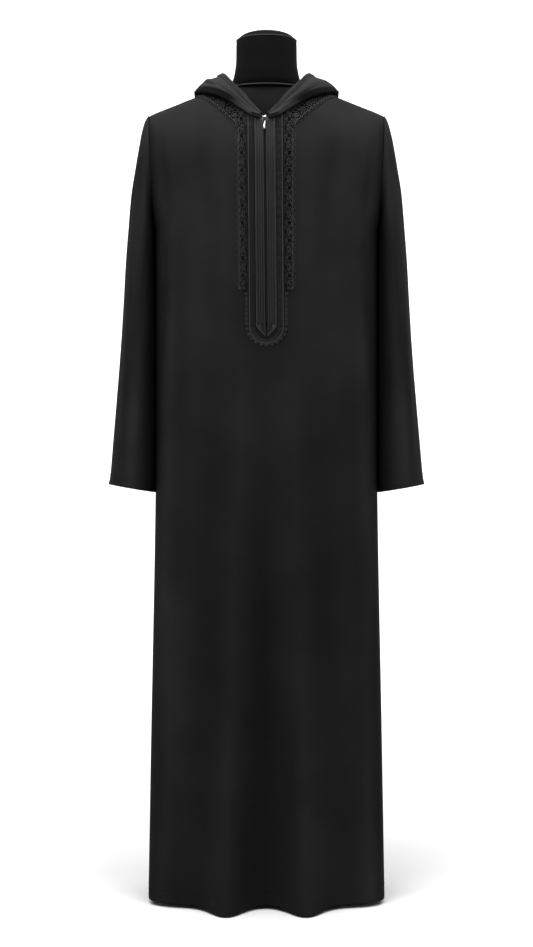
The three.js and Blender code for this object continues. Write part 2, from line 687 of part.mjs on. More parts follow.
// The piping that finishes the front of the neckline beside the slider. It lies on the fold at the
// hood's foot, from the hood's front end to its second row.
function piping(side) {
  const grid = hoodGrid(side);
  const normals = hoodNormals(grid);
  const at = HOOD_STATIONS.indexOf(3);
  const stops = [0, 1, 2].map((i) =>
    grid[i][at].clone().addScaledVector(normals[i][at], PIPING_RADIUS + SEAM_GAP),
  );
  const points = new THREE.CatmullRomCurve3(stops).getPoints(12).slice(0, 7);
  const section = new THREE.Shape().absarc(0, 0, PIPING_RADIUS, 0, 2 * Math.PI);
  const extrudePath = new THREE.CatmullRomCurve3(points);
  return new THREE.ExtrudeGeometry(section, { steps: 6, extrudePath, curveSegments: 4 });
}

function formRings(table) {
  return table.map((row) =>
    Array.from({ length: FORM_SIDES }, (_, j) => {
      const turn = (2 * Math.PI * j) / FORM_SIDES;
      const deep = Math.sin(turn) < 0 ? row.front : row.back;
      return vector(row.half * Math.cos(turn), deep * Math.sin(turn), row.z);
    }),
  );
}

function basePlate() {
  const oval = new THREE.Shape().absellipse(
    0, 0, BASE_HALF_X - BASE_ROUND, BASE_HALF_Y - BASE_ROUND, 0, 2 * Math.PI,
  );
  return new THREE.ExtrudeGeometry(oval, {
    depth: BASE_THICK - 2 * BASE_ROUND,
    bevelThickness: BASE_ROUND,
    bevelSize: BASE_ROUND,
    bevelSegments: 2,
    curveSegments: 14,
  }).translate(0, 0, BASE_ROUND);
}

// Joins closed geometries into one.
function union(geometries) {
  const solids = geometries.map((geometry) => {
    const plain = geometry.clone();
    plain.deleteAttribute("normal");
    plain.deleteAttribute("uv");
    const merged = mergeVertices(plain, 1e-4);
    return new wasm.Manifold(
      new wasm.Mesh({
        numProp: 3,
        vertProperties: new Float32Array(merged.attributes.position.array),
        triVerts: new Uint32Array(merged.index.array),
      }),
    );
  });
  const mesh = solids.reduce((all, next) => all.add(next)).getMesh();
  const geometry = new THREE.BufferGeometry();
  geometry.setAttribute("position", new THREE.BufferAttribute(mesh.vertProperties, 3));
  geometry.setIndex(new THREE.BufferAttribute(mesh.triVerts, 1));
  return geometry;
}

// The slider in its own frame: X across, Y up the zip, Z away from the cloth, on the band's face.
function sliderGeometry() {
  const plate = new THREE.BoxGeometry(SLIDER_WIDE, SLIDER_LONG, PLATE_THICK).translate(0, 0, PLATE_THICK / 2);
  const keel = new THREE.BoxGeometry(KEEL_WIDE, SLIDER_LONG - 2, KEEL_DEEP + 0.5)
    .translate(0, 0, 0.25 - KEEL_DEEP / 2);
  const arch = new THREE.Shape().absarc(0, 0, CROWN_OUT, 0, Math.PI);
  arch.lineTo(-CROWN_OUT, -0.8);
  arch.lineTo(CROWN_OUT, -0.8);
  arch.holes.push(new THREE.Path().absarc(0, 0, CROWN_IN, 0, Math.PI));
  const crown = new THREE.ExtrudeGeometry(arch, { depth: CROWN_WIDE, bevelEnabled: false, curveSegments: 12 })
    .translate(0, 0, -CROWN_WIDE / 2)
    .rotateX(quarter)
    .rotateZ(quarter)
    .translate(0, 0, PLATE_THICK);
  return union([plate, keel, crown]);
}

// The pull tab about its crossbar's axis, hanging along -Y.
function tabGeometry() {
  const half = TAB_WIDE / 2;
  const bar = 0.55;
  const outline = new THREE.Shape();
  outline.moveTo(-half, bar);
  outline.lineTo(-half, -TAB_LONG + half);
  outline.absarc(0, -TAB_LONG + half, half, Math.PI, 2 * Math.PI);
  outline.lineTo(half, bar);
  const window = new THREE.Path();
  window.moveTo(-TAB_WINDOW / 2, -bar);
  window.lineTo(TAB_WINDOW / 2, -bar);
  window.lineTo(TAB_WINDOW / 2, -TAB_WINDOW_LONG);
  window.lineTo(-TAB_WINDOW / 2, -TAB_WINDOW_LONG);
  outline.holes.push(window);
  return new THREE.ExtrudeGeometry(outline, { depth: TAB_THICK, bevelEnabled: false, curveSegments: 8 })
    .translate(0, 0, -TAB_THICK / 2);
}

const object = new THREE.Group();

function add(name, geometry, finish, parent = object) {
  const mesh = new THREE.Mesh(geometry, finish);
  mesh.name = name;
  parent.add(mesh);
  return mesh;
}

add("front_panel", panel(-1), materials.cloth);
add("back_panel", panel(1), materials.cloth);
for (const [name, side] of [["left", -1], ["right", 1]]) {
  add(`sleeve_${name}`, sleeve(side), materials.cloth);
  add(`hood_${name}`, hoodHalf(side), materials.cloth);
  add(`hood_braid_${name}`, hoodBraid(side), materials.satin);
  add(`placket_band_${name}`, placketBand(side), materials.satin);
  add(`embroidery_border_${name}`, embroideryBorder(side), materials.thread);
  add(`neck_border_${name}`, neckBorder(side), materials.thread);
  add(`neck_piping_${name}`, piping(side), materials.satin);
}
add("embroidery_foot", embroideryFoot(), materials.thread);
add("zip_chain", zipChain(), materials.enamel);
add("form_torso", stack(formRings(FORM)), materials.form);
add("form_neck", stack(formRings(NECK)), materials.form);
add("form_neck_cap", stack(formRings(NECK_CAP)), materials.form);

const poleLength = FORM[0].z - BASE_THICK - FLANGE_THICK - 0.9;
const pole = new THREE.CylinderGeometry(POLE_RADIUS, POLE_RADIUS, poleLength, 20).rotateX(quarter);
add("form_pole", pole, materials.metal).position.z = BASE_THICK + FLANGE_THICK + 0.6 + poleLength / 2;
const flange = new THREE.CylinderGeometry(POLE_RADIUS + 6, FLANGE_RADIUS, FLANGE_THICK, 24).rotateX(quarter);
add("form_flange", flange, materials.form).position.z = BASE_THICK + 0.3 + FLANGE_THICK / 2;
add("form_base", basePlate(), materials.form);

// The slider's group stands on the placket bands' face, turned to the slope of the chest.
const slider = new THREE.Group();
const bandFace = TRIM_LIFT + BAND_THICK + 0.3;
const away = bodyNormal(-1, 0, levelOf(0, SLIDER_AT));
const across = vector(1, 0, 0);
const upZip = away.clone().cross(across).normalize();
slider.setRotationFromMatrix(new THREE.Matrix4().makeBasis(upZip.clone().cross(away), upZip, away));
slider.position.copy(offBody(-1, 0, SLIDER_AT, bandFace));
object.add(slider);
add("zip_slider", sliderGeometry(), materials.metal, slider);
const tab = add("zip_pull_tab", tabGeometry(), materials.metal, slider);
tab.position.z = PLATE_THICK + HINGE_RISE;
tab.rotation.x = radians(TAB_TILT);

export default object;
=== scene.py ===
# %% [markdown]
# # A hooded zip abaya on a dress form
# The robe is cut like the real one: a front and a back panel, two straight sleeves, a hood in two
# halves, satin braid beside the zip and scrolled cord embroidery round it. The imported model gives
# every piece its place, and each cloth piece here is a thin shell on the form of its solid.

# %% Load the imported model
import bisect
import math

import bmesh
import bpy
from mathutils import Matrix, Vector, noise


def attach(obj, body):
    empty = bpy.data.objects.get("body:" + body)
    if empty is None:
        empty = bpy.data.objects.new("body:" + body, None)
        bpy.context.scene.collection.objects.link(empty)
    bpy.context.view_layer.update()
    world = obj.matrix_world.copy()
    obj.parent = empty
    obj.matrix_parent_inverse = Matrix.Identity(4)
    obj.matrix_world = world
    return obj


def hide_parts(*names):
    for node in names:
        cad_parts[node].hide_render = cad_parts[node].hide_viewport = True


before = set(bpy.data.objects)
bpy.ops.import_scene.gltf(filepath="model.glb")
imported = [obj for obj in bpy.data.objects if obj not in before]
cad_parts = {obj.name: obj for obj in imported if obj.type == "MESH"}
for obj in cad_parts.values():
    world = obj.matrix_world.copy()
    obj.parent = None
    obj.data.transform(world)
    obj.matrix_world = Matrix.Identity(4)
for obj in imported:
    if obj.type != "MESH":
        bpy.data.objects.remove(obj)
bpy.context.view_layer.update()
ROBE = "robe_and_form"
TAB = "pull_tab"
MM = 0.001


def table(columns, *rows):
    """Rows of numbers under named columns."""
    return [dict(zip(columns.split(), row)) for row in rows]


# %% [markdown]
# ## Camera and light
# The photograph was taken level, from straight in front, at the height of the robe's middle. The
# lens follows from the distance and from the height of the picture in real size. Soft light comes
# from above and from both sides, and the pale sweep behind glows a little, like lit paper.

# %% Camera
IMAGE_PX = (533, 947)
MM_PER_PX = 1.78
CAMERA_AWAY = 3.3
CAMERA_HIGH = 0.756
SENSOR = 36.0

camera_data = bpy.data.cameras.new("camera")
camera_data.sensor_width = SENSOR
camera_data.lens = SENSOR * CAMERA_AWAY / (IMAGE_PX[1] * MM_PER_PX * MM)
camera = bpy.data.objects.new("camera", camera_data)
camera.location = (0, -CAMERA_AWAY, CAMERA_HIGH)
camera.rotation_euler = (math.radians(90), 0, 0)
bpy.context.collection.objects.link(camera)
bpy.context.scene.camera = camera
print("lens", round(camera_data.lens, 1))

# %% Studio: a pale sweep and soft lights
SWEEP = {"half": 10.0, "front": -10.0, "back": 8.0, "radius": 1.5, "high": 9.0}


def new_object(name, mesh):
    made = bpy.data.objects.new(name, mesh)
    bpy.context.collection.objects.link(made)
    return made


def mesh_object(name, bm):
    mesh = bpy.data.meshes.new(name)
    bm.to_mesh(mesh)
    bm.free()
    return new_object(name, mesh)


def made_of(name, bm, *materials):
    made = mesh_object(name, bm)
    for material in materials:
        made.data.materials.append(material)
    return made


def baked(piece):
    """The piece's mesh with its modifiers or its bevel applied."""
    return bpy.data.meshes.new_from_object(piece.evaluated_get(bpy.context.evaluated_depsgraph_get()))


def studio_sweep():
    bm = bmesh.new()
    steps = 16
    corner = [
        (SWEEP["back"] + SWEEP["radius"] * math.sin(t), SWEEP["radius"] * (1 - math.cos(t)))
        for t in [math.pi / 2 * i / steps for i in range(steps + 1)]
    ]
    profile = [(SWEEP["front"], 0.0), *corner, (SWEEP["back"] + SWEEP["radius"], SWEEP["high"])]
    line = [bm.verts.new((-SWEEP["half"], y, z)) for y, z in profile]
    edges = [bm.edges.new(pair) for pair in zip(line, line[1:])]
    grown = bmesh.ops.extrude_edge_only(bm, edges=edges)["geom"]
    moved = [v for v in grown if isinstance(v, bmesh.types.BMVert)]
    bmesh.ops.translate(bm, verts=moved, vec=(2 * SWEEP["half"], 0, 0))
    bmesh.ops.recalc_face_normals(bm, faces=bm.faces)
    for face in bm.faces:
        face.smooth = True
    return mesh_object("studio_sweep", bm)


def area_light(name, at, aim, size, power):
    """A soft rectangle of light that looks at a point."""
    data = bpy.data.lights.new(name, "AREA")
    data.shape = "RECTANGLE"
    data.size, data.size_y = size
    data.energy = power
    lamp = new_object(name, data)
    lamp.location = at
    lamp.rotation_euler = (Vector(aim) - Vector(at)).to_track_quat("-Z", "Y").to_euler()
    return lamp


LIGHTS = [
    {"name": "key", "at": (-1.0, -2.5, 3.0), "aim": (0, 0, 1.2), "size": (1.6, 1.2), "power": 62},
    {"name": "fill", "at": (1.3, -2.6, 2.8), "aim": (0, 0, 1.1), "size": (1.6, 1.4), "power": 40},
    {"name": "top", "at": (0, -0.4, 3.1), "aim": (0, 0, 1.3), "size": (1.5, 1.0), "power": 62},
    {"name": "rim_left", "at": (-2.0, 0.9, 2.6), "aim": (0, 0, 1.1), "size": (1.2, 1.4), "power": 16},
    {"name": "rim_right", "at": (2.0, 0.9, 2.6), "aim": (0, 0, 1.1), "size": (1.2, 1.4), "power": 16},
]
for row in LIGHTS:
    area_light(**row)

AMBIENT = 0.26
world = bpy.data.worlds.new("studio")
world.use_nodes = True
world.node_tree.nodes["Background"].inputs["Color"].default_value = (1, 1, 1, 1)
world.node_tree.nodes["Background"].inputs["Strength"].default_value = AMBIENT
bpy.context.scene.world = world
bpy.context.scene.view_settings.view_transform = "Standard"

# %% [markdown]
# ## Shared pattern groups
# Several finishes need the same two effects, so each is a node group with its own inputs. The first
# gives a height: a fine crossing of threads that follows a piece's own UV map, which is in metres.
# The second gives a slow mottling, for cloth that isn't one even colour.


# %% Thread and mottle groups
def node_group(name, inputs, outputs):
    group = bpy.data.node_groups.new(name, "ShaderNodeTree")
    for label, kind, value in inputs:
        socket = group.interface.new_socket(label, in_out="INPUT", socket_type=kind)
        if value is not None:
            socket.default_value = value
    for label, kind in outputs:
        group.interface.new_socket(label, in_out="OUTPUT", socket_type=kind)
    return group, group.nodes.new("NodeGroupInput"), group.nodes.new("NodeGroupOutput")


def math_node(tree, operation, first, second=None):
    node = tree.nodes.new("ShaderNodeMath")
    node.operation = operation
    for socket, value in zip(node.inputs, (first, second)):
        if value is None:
            continue
        if isinstance(value, (int, float)):
            socket.default_value = value
        else:
            tree.links.new(value, socket)
    return node.outputs[0]


def weave_group():
    group, given, out = node_group(
        "crossed_threads",
        [
            ("Vector", "NodeSocketVector", None),
            ("Threads", "NodeSocketFloat", 2200.0),
            ("Uneven", "NodeSocketFloat", 0.4),
        ],
        [("Height", "NodeSocketFloat")],
    )
    split = group.nodes.new("ShaderNodeSeparateXYZ")
    group.links.new(given.outputs["Vector"], split.inputs[0])
    turns = math_node(group, "MULTIPLY", given.outputs["Threads"], 2 * math.pi)
    across = math_node(group, "SINE", math_node(group, "MULTIPLY", split.outputs["X"], turns))
    along = math_node(group, "SINE", math_node(group, "MULTIPLY", split.outputs["Y"], turns))
    woven = math_node(group, "MULTIPLY", across, along)
    grain = group.nodes.new("ShaderNodeTexNoise")
    grain.inputs["Detail"].default_value = 3
    group.links.new(given.outputs["Vector"], grain.inputs["Vector"])
    group.links.new(given.outputs["Threads"], grain.inputs["Scale"])
    rough = math_node(group, "MULTIPLY", grain.outputs["Fac"], given.outputs["Uneven"])
    group.links.new(math_node(group, "ADD", woven, rough), out.inputs["Height"])
    return group


def mottle_group():
    group, given, out = node_group(
        "slow_mottle",
        [
            ("Vector", "NodeSocketVector", None),
            ("Color", "NodeSocketColor", (0.02, 0.02, 0.02, 1)),
            ("Lighter", "NodeSocketColor", (0.03, 0.03, 0.03, 1)),
            ("Scale", "NodeSocketFloat", 9.0),
            ("Rough", "NodeSocketFloat", 0.8),
            ("Spread", "NodeSocketFloat", 0.08),
        ],
        [("Color", "NodeSocketColor"), ("Roughness", "NodeSocketFloat")],
    )
    cloud = group.nodes.new("ShaderNodeTexNoise")
    cloud.inputs["Detail"].default_value = 4
    group.links.new(given.outputs["Vector"], cloud.inputs["Vector"])
    group.links.new(given.outputs["Scale"], cloud.inputs["Scale"])
    blend = group.nodes.new("ShaderNodeMix")
    blend.data_type = "RGBA"
    group.links.new(cloud.outputs["Fac"], blend.inputs["Factor"])
    group.links.new(given.outputs["Color"], blend.inputs["A"])
    group.links.new(given.outputs["Lighter"], blend.inputs["B"])
    group.links.new(blend.outputs["Result"], out.inputs["Color"])
    centred = math_node(group, "SUBTRACT", cloud.outputs["Fac"], 0.5)
    swing = math_node(group, "MULTIPLY", centred, given.outputs["Spread"])
    group.links.new(math_node(group, "ADD", given.outputs["Rough"], swing), out.inputs["Roughness"])
    return group


WEAVE = weave_group()
MOTTLE = mottle_group()


# %% [markdown]
# ## Finishes
# Black things differ in how they catch light. The crepe is matt with a faint sheen at grazing
# angles, the braid is a smooth satin, the embroidery cord is rayon with small highlights, and the
# dress form's jersey is duller than all of them. The crepe's colour also carries painted shade and
# painted highlight: darker in the troughs of its creases, by the armholes, under the hood's roll and
# low down, and lighter on the ridges.


# %% Materials
def with_painted_shading(tree, color, least, most):
    """Scales the colour by the piece's attribute of painted shading: painted shade where it is low, painted
    highlight where it is high.
    """
    painted_tone = tree.nodes.new("ShaderNodeAttribute")
    painted_tone.attribute_name = "painted_shading"
    amount = tree.nodes.new("ShaderNodeMapRange")
    amount.inputs["To Min"].default_value = least
    amount.inputs["To Max"].default_value = most
    tree.links.new(painted_tone.outputs["Fac"], amount.inputs["Value"])
    scaled = tree.nodes.new("ShaderNodeVectorMath")
    scaled.operation = "SCALE"
    tree.links.new(color, scaled.inputs[0])
    tree.links.new(amount.outputs[0], scaled.inputs["Scale"])
    return scaled.outputs[0]


def finish(
    name, color, lighter, rough, spread, threads, bump, coords="UV", scale=9.0, uneven=0.4, folds=None,
    **shader,
):
    """A mottled material with woven relief; folds gives the range of the painted shade and highlight on
    pieces that carry them.
    """
    made = bpy.data.materials.new(name)
    made.use_nodes = True
    tree = made.node_tree
    principled = tree.nodes["Principled BSDF"]
    place = tree.nodes.new("ShaderNodeTexCoord")
    mottle = tree.nodes.new("ShaderNodeGroup")
    mottle.node_tree = MOTTLE
    mottle.inputs["Color"].default_value = (*color, 1)
    mottle.inputs["Lighter"].default_value = (*lighter, 1)
    mottle.inputs["Scale"].default_value = scale
    mottle.inputs["Rough"].default_value = rough
    mottle.inputs["Spread"].default_value = spread
    tree.links.new(place.outputs["Object"], mottle.inputs["Vector"])
    base = with_painted_shading(tree, mottle.outputs["Color"], *folds) if folds else mottle.outputs["Color"]
    tree.links.new(base, principled.inputs["Base Color"])
    tree.links.new(mottle.outputs["Roughness"], principled.inputs["Roughness"])
    if bump:
        weave = tree.nodes.new("ShaderNodeGroup")
        weave.node_tree = WEAVE
        weave.inputs["Threads"].default_value = threads
        weave.inputs["Uneven"].default_value = uneven
        relief = tree.nodes.new("ShaderNodeBump")
        relief.inputs["Strength"].default_value = 0.6
        relief.inputs["Distance"].default_value = bump
        tree.links.new(place.outputs[coords], weave.inputs["Vector"])
        tree.links.new(weave.outputs["Height"], relief.inputs["Height"])
        tree.links.new(relief.outputs["Normal"], principled.inputs["Normal"])
    for socket, value in shader.items():
        label = socket.replace("_", " ")
        principled.inputs[label].default_value = (*value, 1) if isinstance(value, tuple) else value
    return made


# the crepe's colour is scaled between 0.15 and 1.8 by each piece's painted shade and painted highlight
CREPE = finish(
    "crepe", (0.0055, 0.0055, 0.0054), (0.0195, 0.0195, 0.0192), 0.9, 0.1, 1500, 0.00006,
    scale=8.0, folds=(0.15, 1.8), Specular_IOR_Level=0.06,
)
SATIN = finish(
    "satin_braid", (0.0028, 0.0028, 0.0028), (0.006, 0.006, 0.0061), 0.4, 0.14, 1100, 0.00006,
    scale=60.0, Specular_IOR_Level=0.12,
)
SATIN_CORD = finish(
    "satin_cord", (0.022, 0.022, 0.0224), (0.052, 0.052, 0.053), 0.36, 0.16, 1500, 0.00004,
    coords="Object", scale=120.0, Specular_IOR_Level=0.2,
)
THREAD = finish(
    "rayon_cord", (0.002, 0.002, 0.002), (0.017, 0.017, 0.0173), 0.4, 0.16, 1700, 0.00006,
    coords="Object", scale=170.0, Specular_IOR_Level=0.13,
)
LACE_CORD = finish(
    "lace_cord", (0.008, 0.008, 0.0082), (0.042, 0.042, 0.0428), 0.36, 0.16, 1700, 0.00006,
    coords="Object", scale=170.0, Specular_IOR_Level=0.22,
)
GROUND = finish(
    "stitched_ground", (0.0016, 0.0016, 0.00165), (0.004, 0.004, 0.0041), 0.95, 0.1, 900, 0.0001,
    scale=200.0, Specular_IOR_Level=0.02,
)
JERSEY = finish(
    "form_jersey", (0.0018, 0.0018, 0.0018), (0.0036, 0.0036, 0.0036), 0.9, 0.08, 1300, 0.00006,
    coords="Object", scale=12.0, Specular_IOR_Level=0.07,
)
SEAM_JERSEY = finish(
    "form_seam_jersey", (0.013, 0.013, 0.013), (0.02, 0.02, 0.02), 0.7, 0.1, 1300, 0.00006,
    coords="Object", Specular_IOR_Level=0.3,
)
NICKEL = finish(
    "polished_nickel", (0.7, 0.7, 0.72), (0.78, 0.78, 0.79), 0.16, 0.1, 900, 0, scale=300.0, Metallic=1.0
)
STEEL = finish(
    "brushed_tube", (0.5, 0.5, 0.51), (0.6, 0.6, 0.61), 0.34, 0.12, 700, 0.00003,
    coords="Object", scale=160.0, Metallic=1.0,
)
COIL = finish(
    "black_coil", (0.003, 0.003, 0.0032), (0.008, 0.008, 0.0083), 0.4, 0.1, 800, 0, scale=200.0,
    Specular_IOR_Level=0.15,
)
ENAMEL = finish("black_enamel", (0.006, 0.006, 0.0065), (0.01, 0.01, 0.011), 0.3, 0.1, 800, 0, scale=200.0)
PAINT = finish(
    "powder_coat", (0.012, 0.012, 0.013), (0.016, 0.016, 0.017), 0.5, 0.12, 1200, 0.00006,
    coords="Object", scale=30.0, uneven=1.5,
)
SWEEP_PAINT = finish("pale_sweep", (0.86, 0.86, 0.86), (0.88, 0.88, 0.88), 0.9, 0.02, 10, 0, scale=2.0)


def lit_from_within(material, starts, full, strength):
    """A gentle glow that grows with the distance behind the robe, like a lit paper roll."""
    tree = material.node_tree
    principled = tree.nodes["Principled BSDF"]
    place = tree.nodes.new("ShaderNodeTexCoord")
    split = tree.nodes.new("ShaderNodeSeparateXYZ")
    grow = tree.nodes.new("ShaderNodeMapRange")
    for socket, value in (("From Min", starts), ("From Max", full), ("To Max", strength)):
        grow.inputs[socket].default_value = value
    tree.links.new(place.outputs["Object"], split.inputs[0])
    tree.links.new(split.outputs["Y"], grow.inputs["Value"])
    tree.links.new(grow.outputs[0], principled.inputs["Emission Strength"])
    principled.inputs["Emission Color"].default_value = (1, 1, 1, 1)


lit_from_within(SWEEP_PAINT, starts=0.4, full=3.4, strength=0.86)
sweep = studio_sweep()
sweep.data.materials.append(SWEEP_PAINT)

# %% [markdown]
# ## The body's surface
# Front and back are worked out from the same few sections as their solids: half widths, depths and
# how square each section is, with deep folds that run up from the hem. A place on a panel is a
# column, the distance from the centre, and a level: 0 at the hem, 1 at the chest and 2 on the
# shoulder ridge. All of these functions work in millimetres.

# %% Sizes of the cut and the drape
CLOTH = 1.2
SEAM_GAP = 0.4
CHEST_HALF = 196
UNDERARM = 1190
CHEST_LINE = 1290
SHOULDER_TIP = 1391
TIP_HALF = 207.4
ARMHOLE_DEPTH = 58
NECK_HALF = 75
NECK_POINT = 1442
NECK_SLOPE = 0.39
NECK_FRONT = 105
NECK_BACK = 72
HEM = 8
HEM_DIP = 5
PLAIN_CENTRE = 20
LEAN = -3.7
LEAN_REACH = 110
ZIP_END = 1009
NECK_TRIM_HALF = 119
NECK_TRIM_FRONT = 118.5

BODY = table(
    "z half front back square",
    (0, 209, 86, 112, 4.0),
    (300, 204, 98, 115, 3.5),
    (725, 196.3, 111, 119, 2.9),
    (1000, 196, 117, 122, 2.6),
    (UNDERARM, 197.5, 119, 124, 2.5),
    (CHEST_LINE, 202.4, 118, 122, 2.4),
    (SHOULDER_TIP, TIP_HALF, 118, 122, 2.4),
)
FOLDS = {
    -1: [
        {"x": -66, "width": 34, "depth": 64, "top": 660},
        {"x": 64, "width": 34, "depth": 64, "top": 700},
    ],
    1: [
        {"x": -112, "width": 30, "depth": 40, "top": 620},
        {"x": -8, "width": 38, "depth": 52, "top": 860},
        {"x": 104, "width": 32, "depth": 44, "top": 700},
    ],
}
FACE = {-1: "front", 1: "back"}
SIDES = (("left", -1), ("right", 1))


# %% Functions of the surface
def mix(a, b, share):
    return a + (b - a) * share


def tracked(rows, key, column):
    """A smooth function through one column of a table."""
    keys = [row[key] for row in rows]
    values = [row[column] for row in rows]
    last = len(keys) - 1
    slopes = []
    for i in range(last + 1):
        low, high = max(i - 1, 0), min(i + 1, last)
        slopes.append((values[high] - values[low]) / (keys[high] - keys[low]))

    def at(place):
        clamped = min(max(place, keys[0]), keys[last])
        i = min(max(bisect.bisect_right(keys, clamped) - 1, 0), last - 1)
        span = keys[i + 1] - keys[i]
        t = (clamped - keys[i]) / span
        t2, t3 = t * t, t * t * t
        return (
            (2 * t3 - 3 * t2 + 1) * values[i]
            + (t3 - 2 * t2 + t) * span * slopes[i]
            + (3 * t2 - 2 * t3) * values[i + 1]
            + (t3 - t2) * span * slopes[i + 1]
        )

    return at


SECTION = {name: tracked(BODY, "z", name) for name in ("half", "front", "back", "square")}


def ridge(column):
    out = abs(column)
    if out < NECK_HALF:
        return NECK_POINT + (NECK_HALF - out) * NECK_SLOPE
    return mix(NECK_POINT, SHOULDER_TIP, (out - NECK_HALF) / (CHEST_HALF - NECK_HALF))


def fold_depth(side, x, z):
    total = 0.0
    for fold in FOLDS[side]:
        rise = max(0.0, 1 - z / fold["top"])
        total += fold["depth"] * rise**1.3 * math.exp(-(((x - fold["x"]) / fold["width"]) ** 2))
    return total


def eased(share):
    clamped = min(max(share, 0.0), 1.0)
    return clamped * clamped * (3 - 2 * clamped)


def depth_at(side, column, z):
    """The armhole's own curve holds at the edge, and inside it eases out over a longer height."""
    share = min(1.0, abs(column) / CHEST_HALF)
    square = SECTION["square"](z)
    above = (z - CHEST_LINE) / (CHEST_LINE - UNDERARM)
    armhole = ARMHOLE_DEPTH * math.sqrt(max(0.0, 1 - above * above)) if z > UNDERARM else 0.0
    soft = ARMHOLE_DEPTH * eased((z - UNDERARM + 90) / (CHEST_LINE - UNDERARM + 90))
    edge = mix(soft, armhole, eased((share - 0.86) / 0.13))
    round_off = (1 - share**square) ** (1 / square)
    return mix(edge, SECTION[FACE[side]](z), round_off) + fold_depth(side, column, z) * round_off


def lean_at(z):
    run = SHOULDER_TIP - ZIP_END
    return LEAN * min(max(z - ZIP_END, 0), run) / run


def body_point(side, column, level):
    turn = max(0.0, level - 1) * math.pi / 2
    lowest = HEM - HEM_DIP * min(1.0, fold_depth(side, column, 0) / 50)
    if level > 1:
        z = mix(CHEST_LINE, ridge(column), math.sin(turn))
    else:
        z = mix(lowest, CHEST_LINE, level)
    depth = depth_at(side, column, min(z, CHEST_LINE)) * math.cos(turn)
    out = abs(column)
    spread = (SECTION["half"](z) - PLAIN_CENTRE) / (CHEST_HALF - PLAIN_CENTRE)
    x = out if out < PLAIN_CENTRE else PLAIN_CENTRE + (out - PLAIN_CENTRE) * spread
    lean = lean_at(z) * max(0.0, 1 - out / LEAN_REACH) if side < 0 else 0.0
    return Vector((math.copysign(x, column) + lean, side * (SEAM_GAP / 2 + depth), z))


def level_of(column, z):
    if z <= CHEST_LINE:
        return (z - HEM) / (CHEST_LINE - HEM)
    share = min(1.0, (z - CHEST_LINE) / (ridge(column) - CHEST_LINE))
    return 1 + math.asin(share) / (math.pi / 2)


def body_normal(side, column, level):
    step = 0.004
    low = body_point(side, column, max(0.0, level - step))
    high = body_point(side, column, min(2.0, level + step))
    left = body_point(side, max(column - 1, -CHEST_HALF), level)
    right = body_point(side, min(column + 1, CHEST_HALF), level)
    normal = (right - left).cross(high - low).normalized()
    return normal if side < 0 else -normal


def off_level(side, column, level, distance):
    return body_point(side, column, level) + body_normal(side, column, level) * distance


def off_body(side, column, z, distance):
    return off_level(side, column, level_of(column, z), distance)


def neckline_level(side, column):
    share = min(1.0, abs(column) / NECK_HALF)
    forward = (NECK_FRONT if side < 0 else NECK_BACK) * math.sqrt(1 - share * share)
    return 1 + math.acos(min(1.0, forward / depth_at(side, column, CHEST_LINE))) / (math.pi / 2)


# %% [markdown]
# ## Cloth as a moved grid
# Each cloth piece starts as Blender's own grid. Its points are moved onto the piece's surface, its
# UV map is laid out in metres, creases push the points along their normals, and a Solidify modifier
# gives the cloth its thickness inwards.


# %% Grid helpers
def grid_piece(across, along, point, size, wrap=False):
    """A grid over lists of two coordinates, moved to point(a, b) in millimetres."""
    bm = bmesh.new()
    bm.loops.layers.uv.new("UVMap")
    # each point carries its painted shading: 0.5 is plain, lower is painted shade, higher is painted
    # highlight
    painted_tone = bm.verts.layers.float.new("painted_shading")
    columns, rows = len(across) - 1, len(along) - 1
    bmesh.ops.create_grid(bm, x_segments=columns, y_segments=rows, size=1, calc_uvs=True)
    uv = bm.loops.layers.uv.active
    for face in bm.faces:
        face.smooth = True
        for loop in face.loops:
            loop[uv].uv = (loop[uv].uv[0] * size[0], loop[uv].uv[1] * size[1])
    places = {}
    for vert in bm.verts:
        i = round((vert.co.x + 1) / 2 * columns)
        j = round((vert.co.y + 1) / 2 * rows)
        places[vert] = (i, j)
        vert.co = point(across[i], along[j]) * MM
        vert[painted_tone] = 0.5
    if wrap:
        bmesh.ops.remove_doubles(bm, verts=bm.verts, dist=1e-6)
    bm.normal_update()
    return bm, places


def shell(bm, name, material, thickness=CLOTH, flip=False):
    if flip:
        bmesh.ops.reverse_faces(bm, faces=bm.faces)
    piece = made_of(name, bm, material)
    wall = piece.modifiers.new("cloth_wall", "SOLIDIFY")
    wall.thickness = thickness * MM
    wall.offset = -1
    return piece


def surface_area(piece):
    return sum(face.area for face in piece.data.polygons)


def spaced(low, high, step):
    count = max(1, round((high - low) / step))
    return [mix(low, high, i / count) for i in range(count + 1)]


def crease_depth(creases, x, z):
    """Sum of the soft troughs and ridges of a table at a place on a hanging piece."""
    total = 0.0
    for row in creases:
        run = (row["top"] - z) / (row["top"] - row["foot"])
        if not 0 < run < 1:
            continue
        middle = row["x"] + row["lean"] * run
        away = (x - middle) / row["width"]
        if abs(away) > 3:
            continue
        total += row["deep"] * math.exp(-away * away) * math.sin(math.pi * run) ** 0.8
    return total


def hang_ripple(x, z, seed, amount):
    """A slight unevenness that is much longer than it is wide, as in hanging cloth."""
    return amount * noise.noise(Vector((x / 45, z / 420, seed)))


# %% [markdown]
# ## Front and back panels
# The crepe hangs almost smooth, so what reads as cloth is a few long soft troughs: one down from
# each underarm, slight drags from the shoulders and long ridges that grow into the hem's folds.

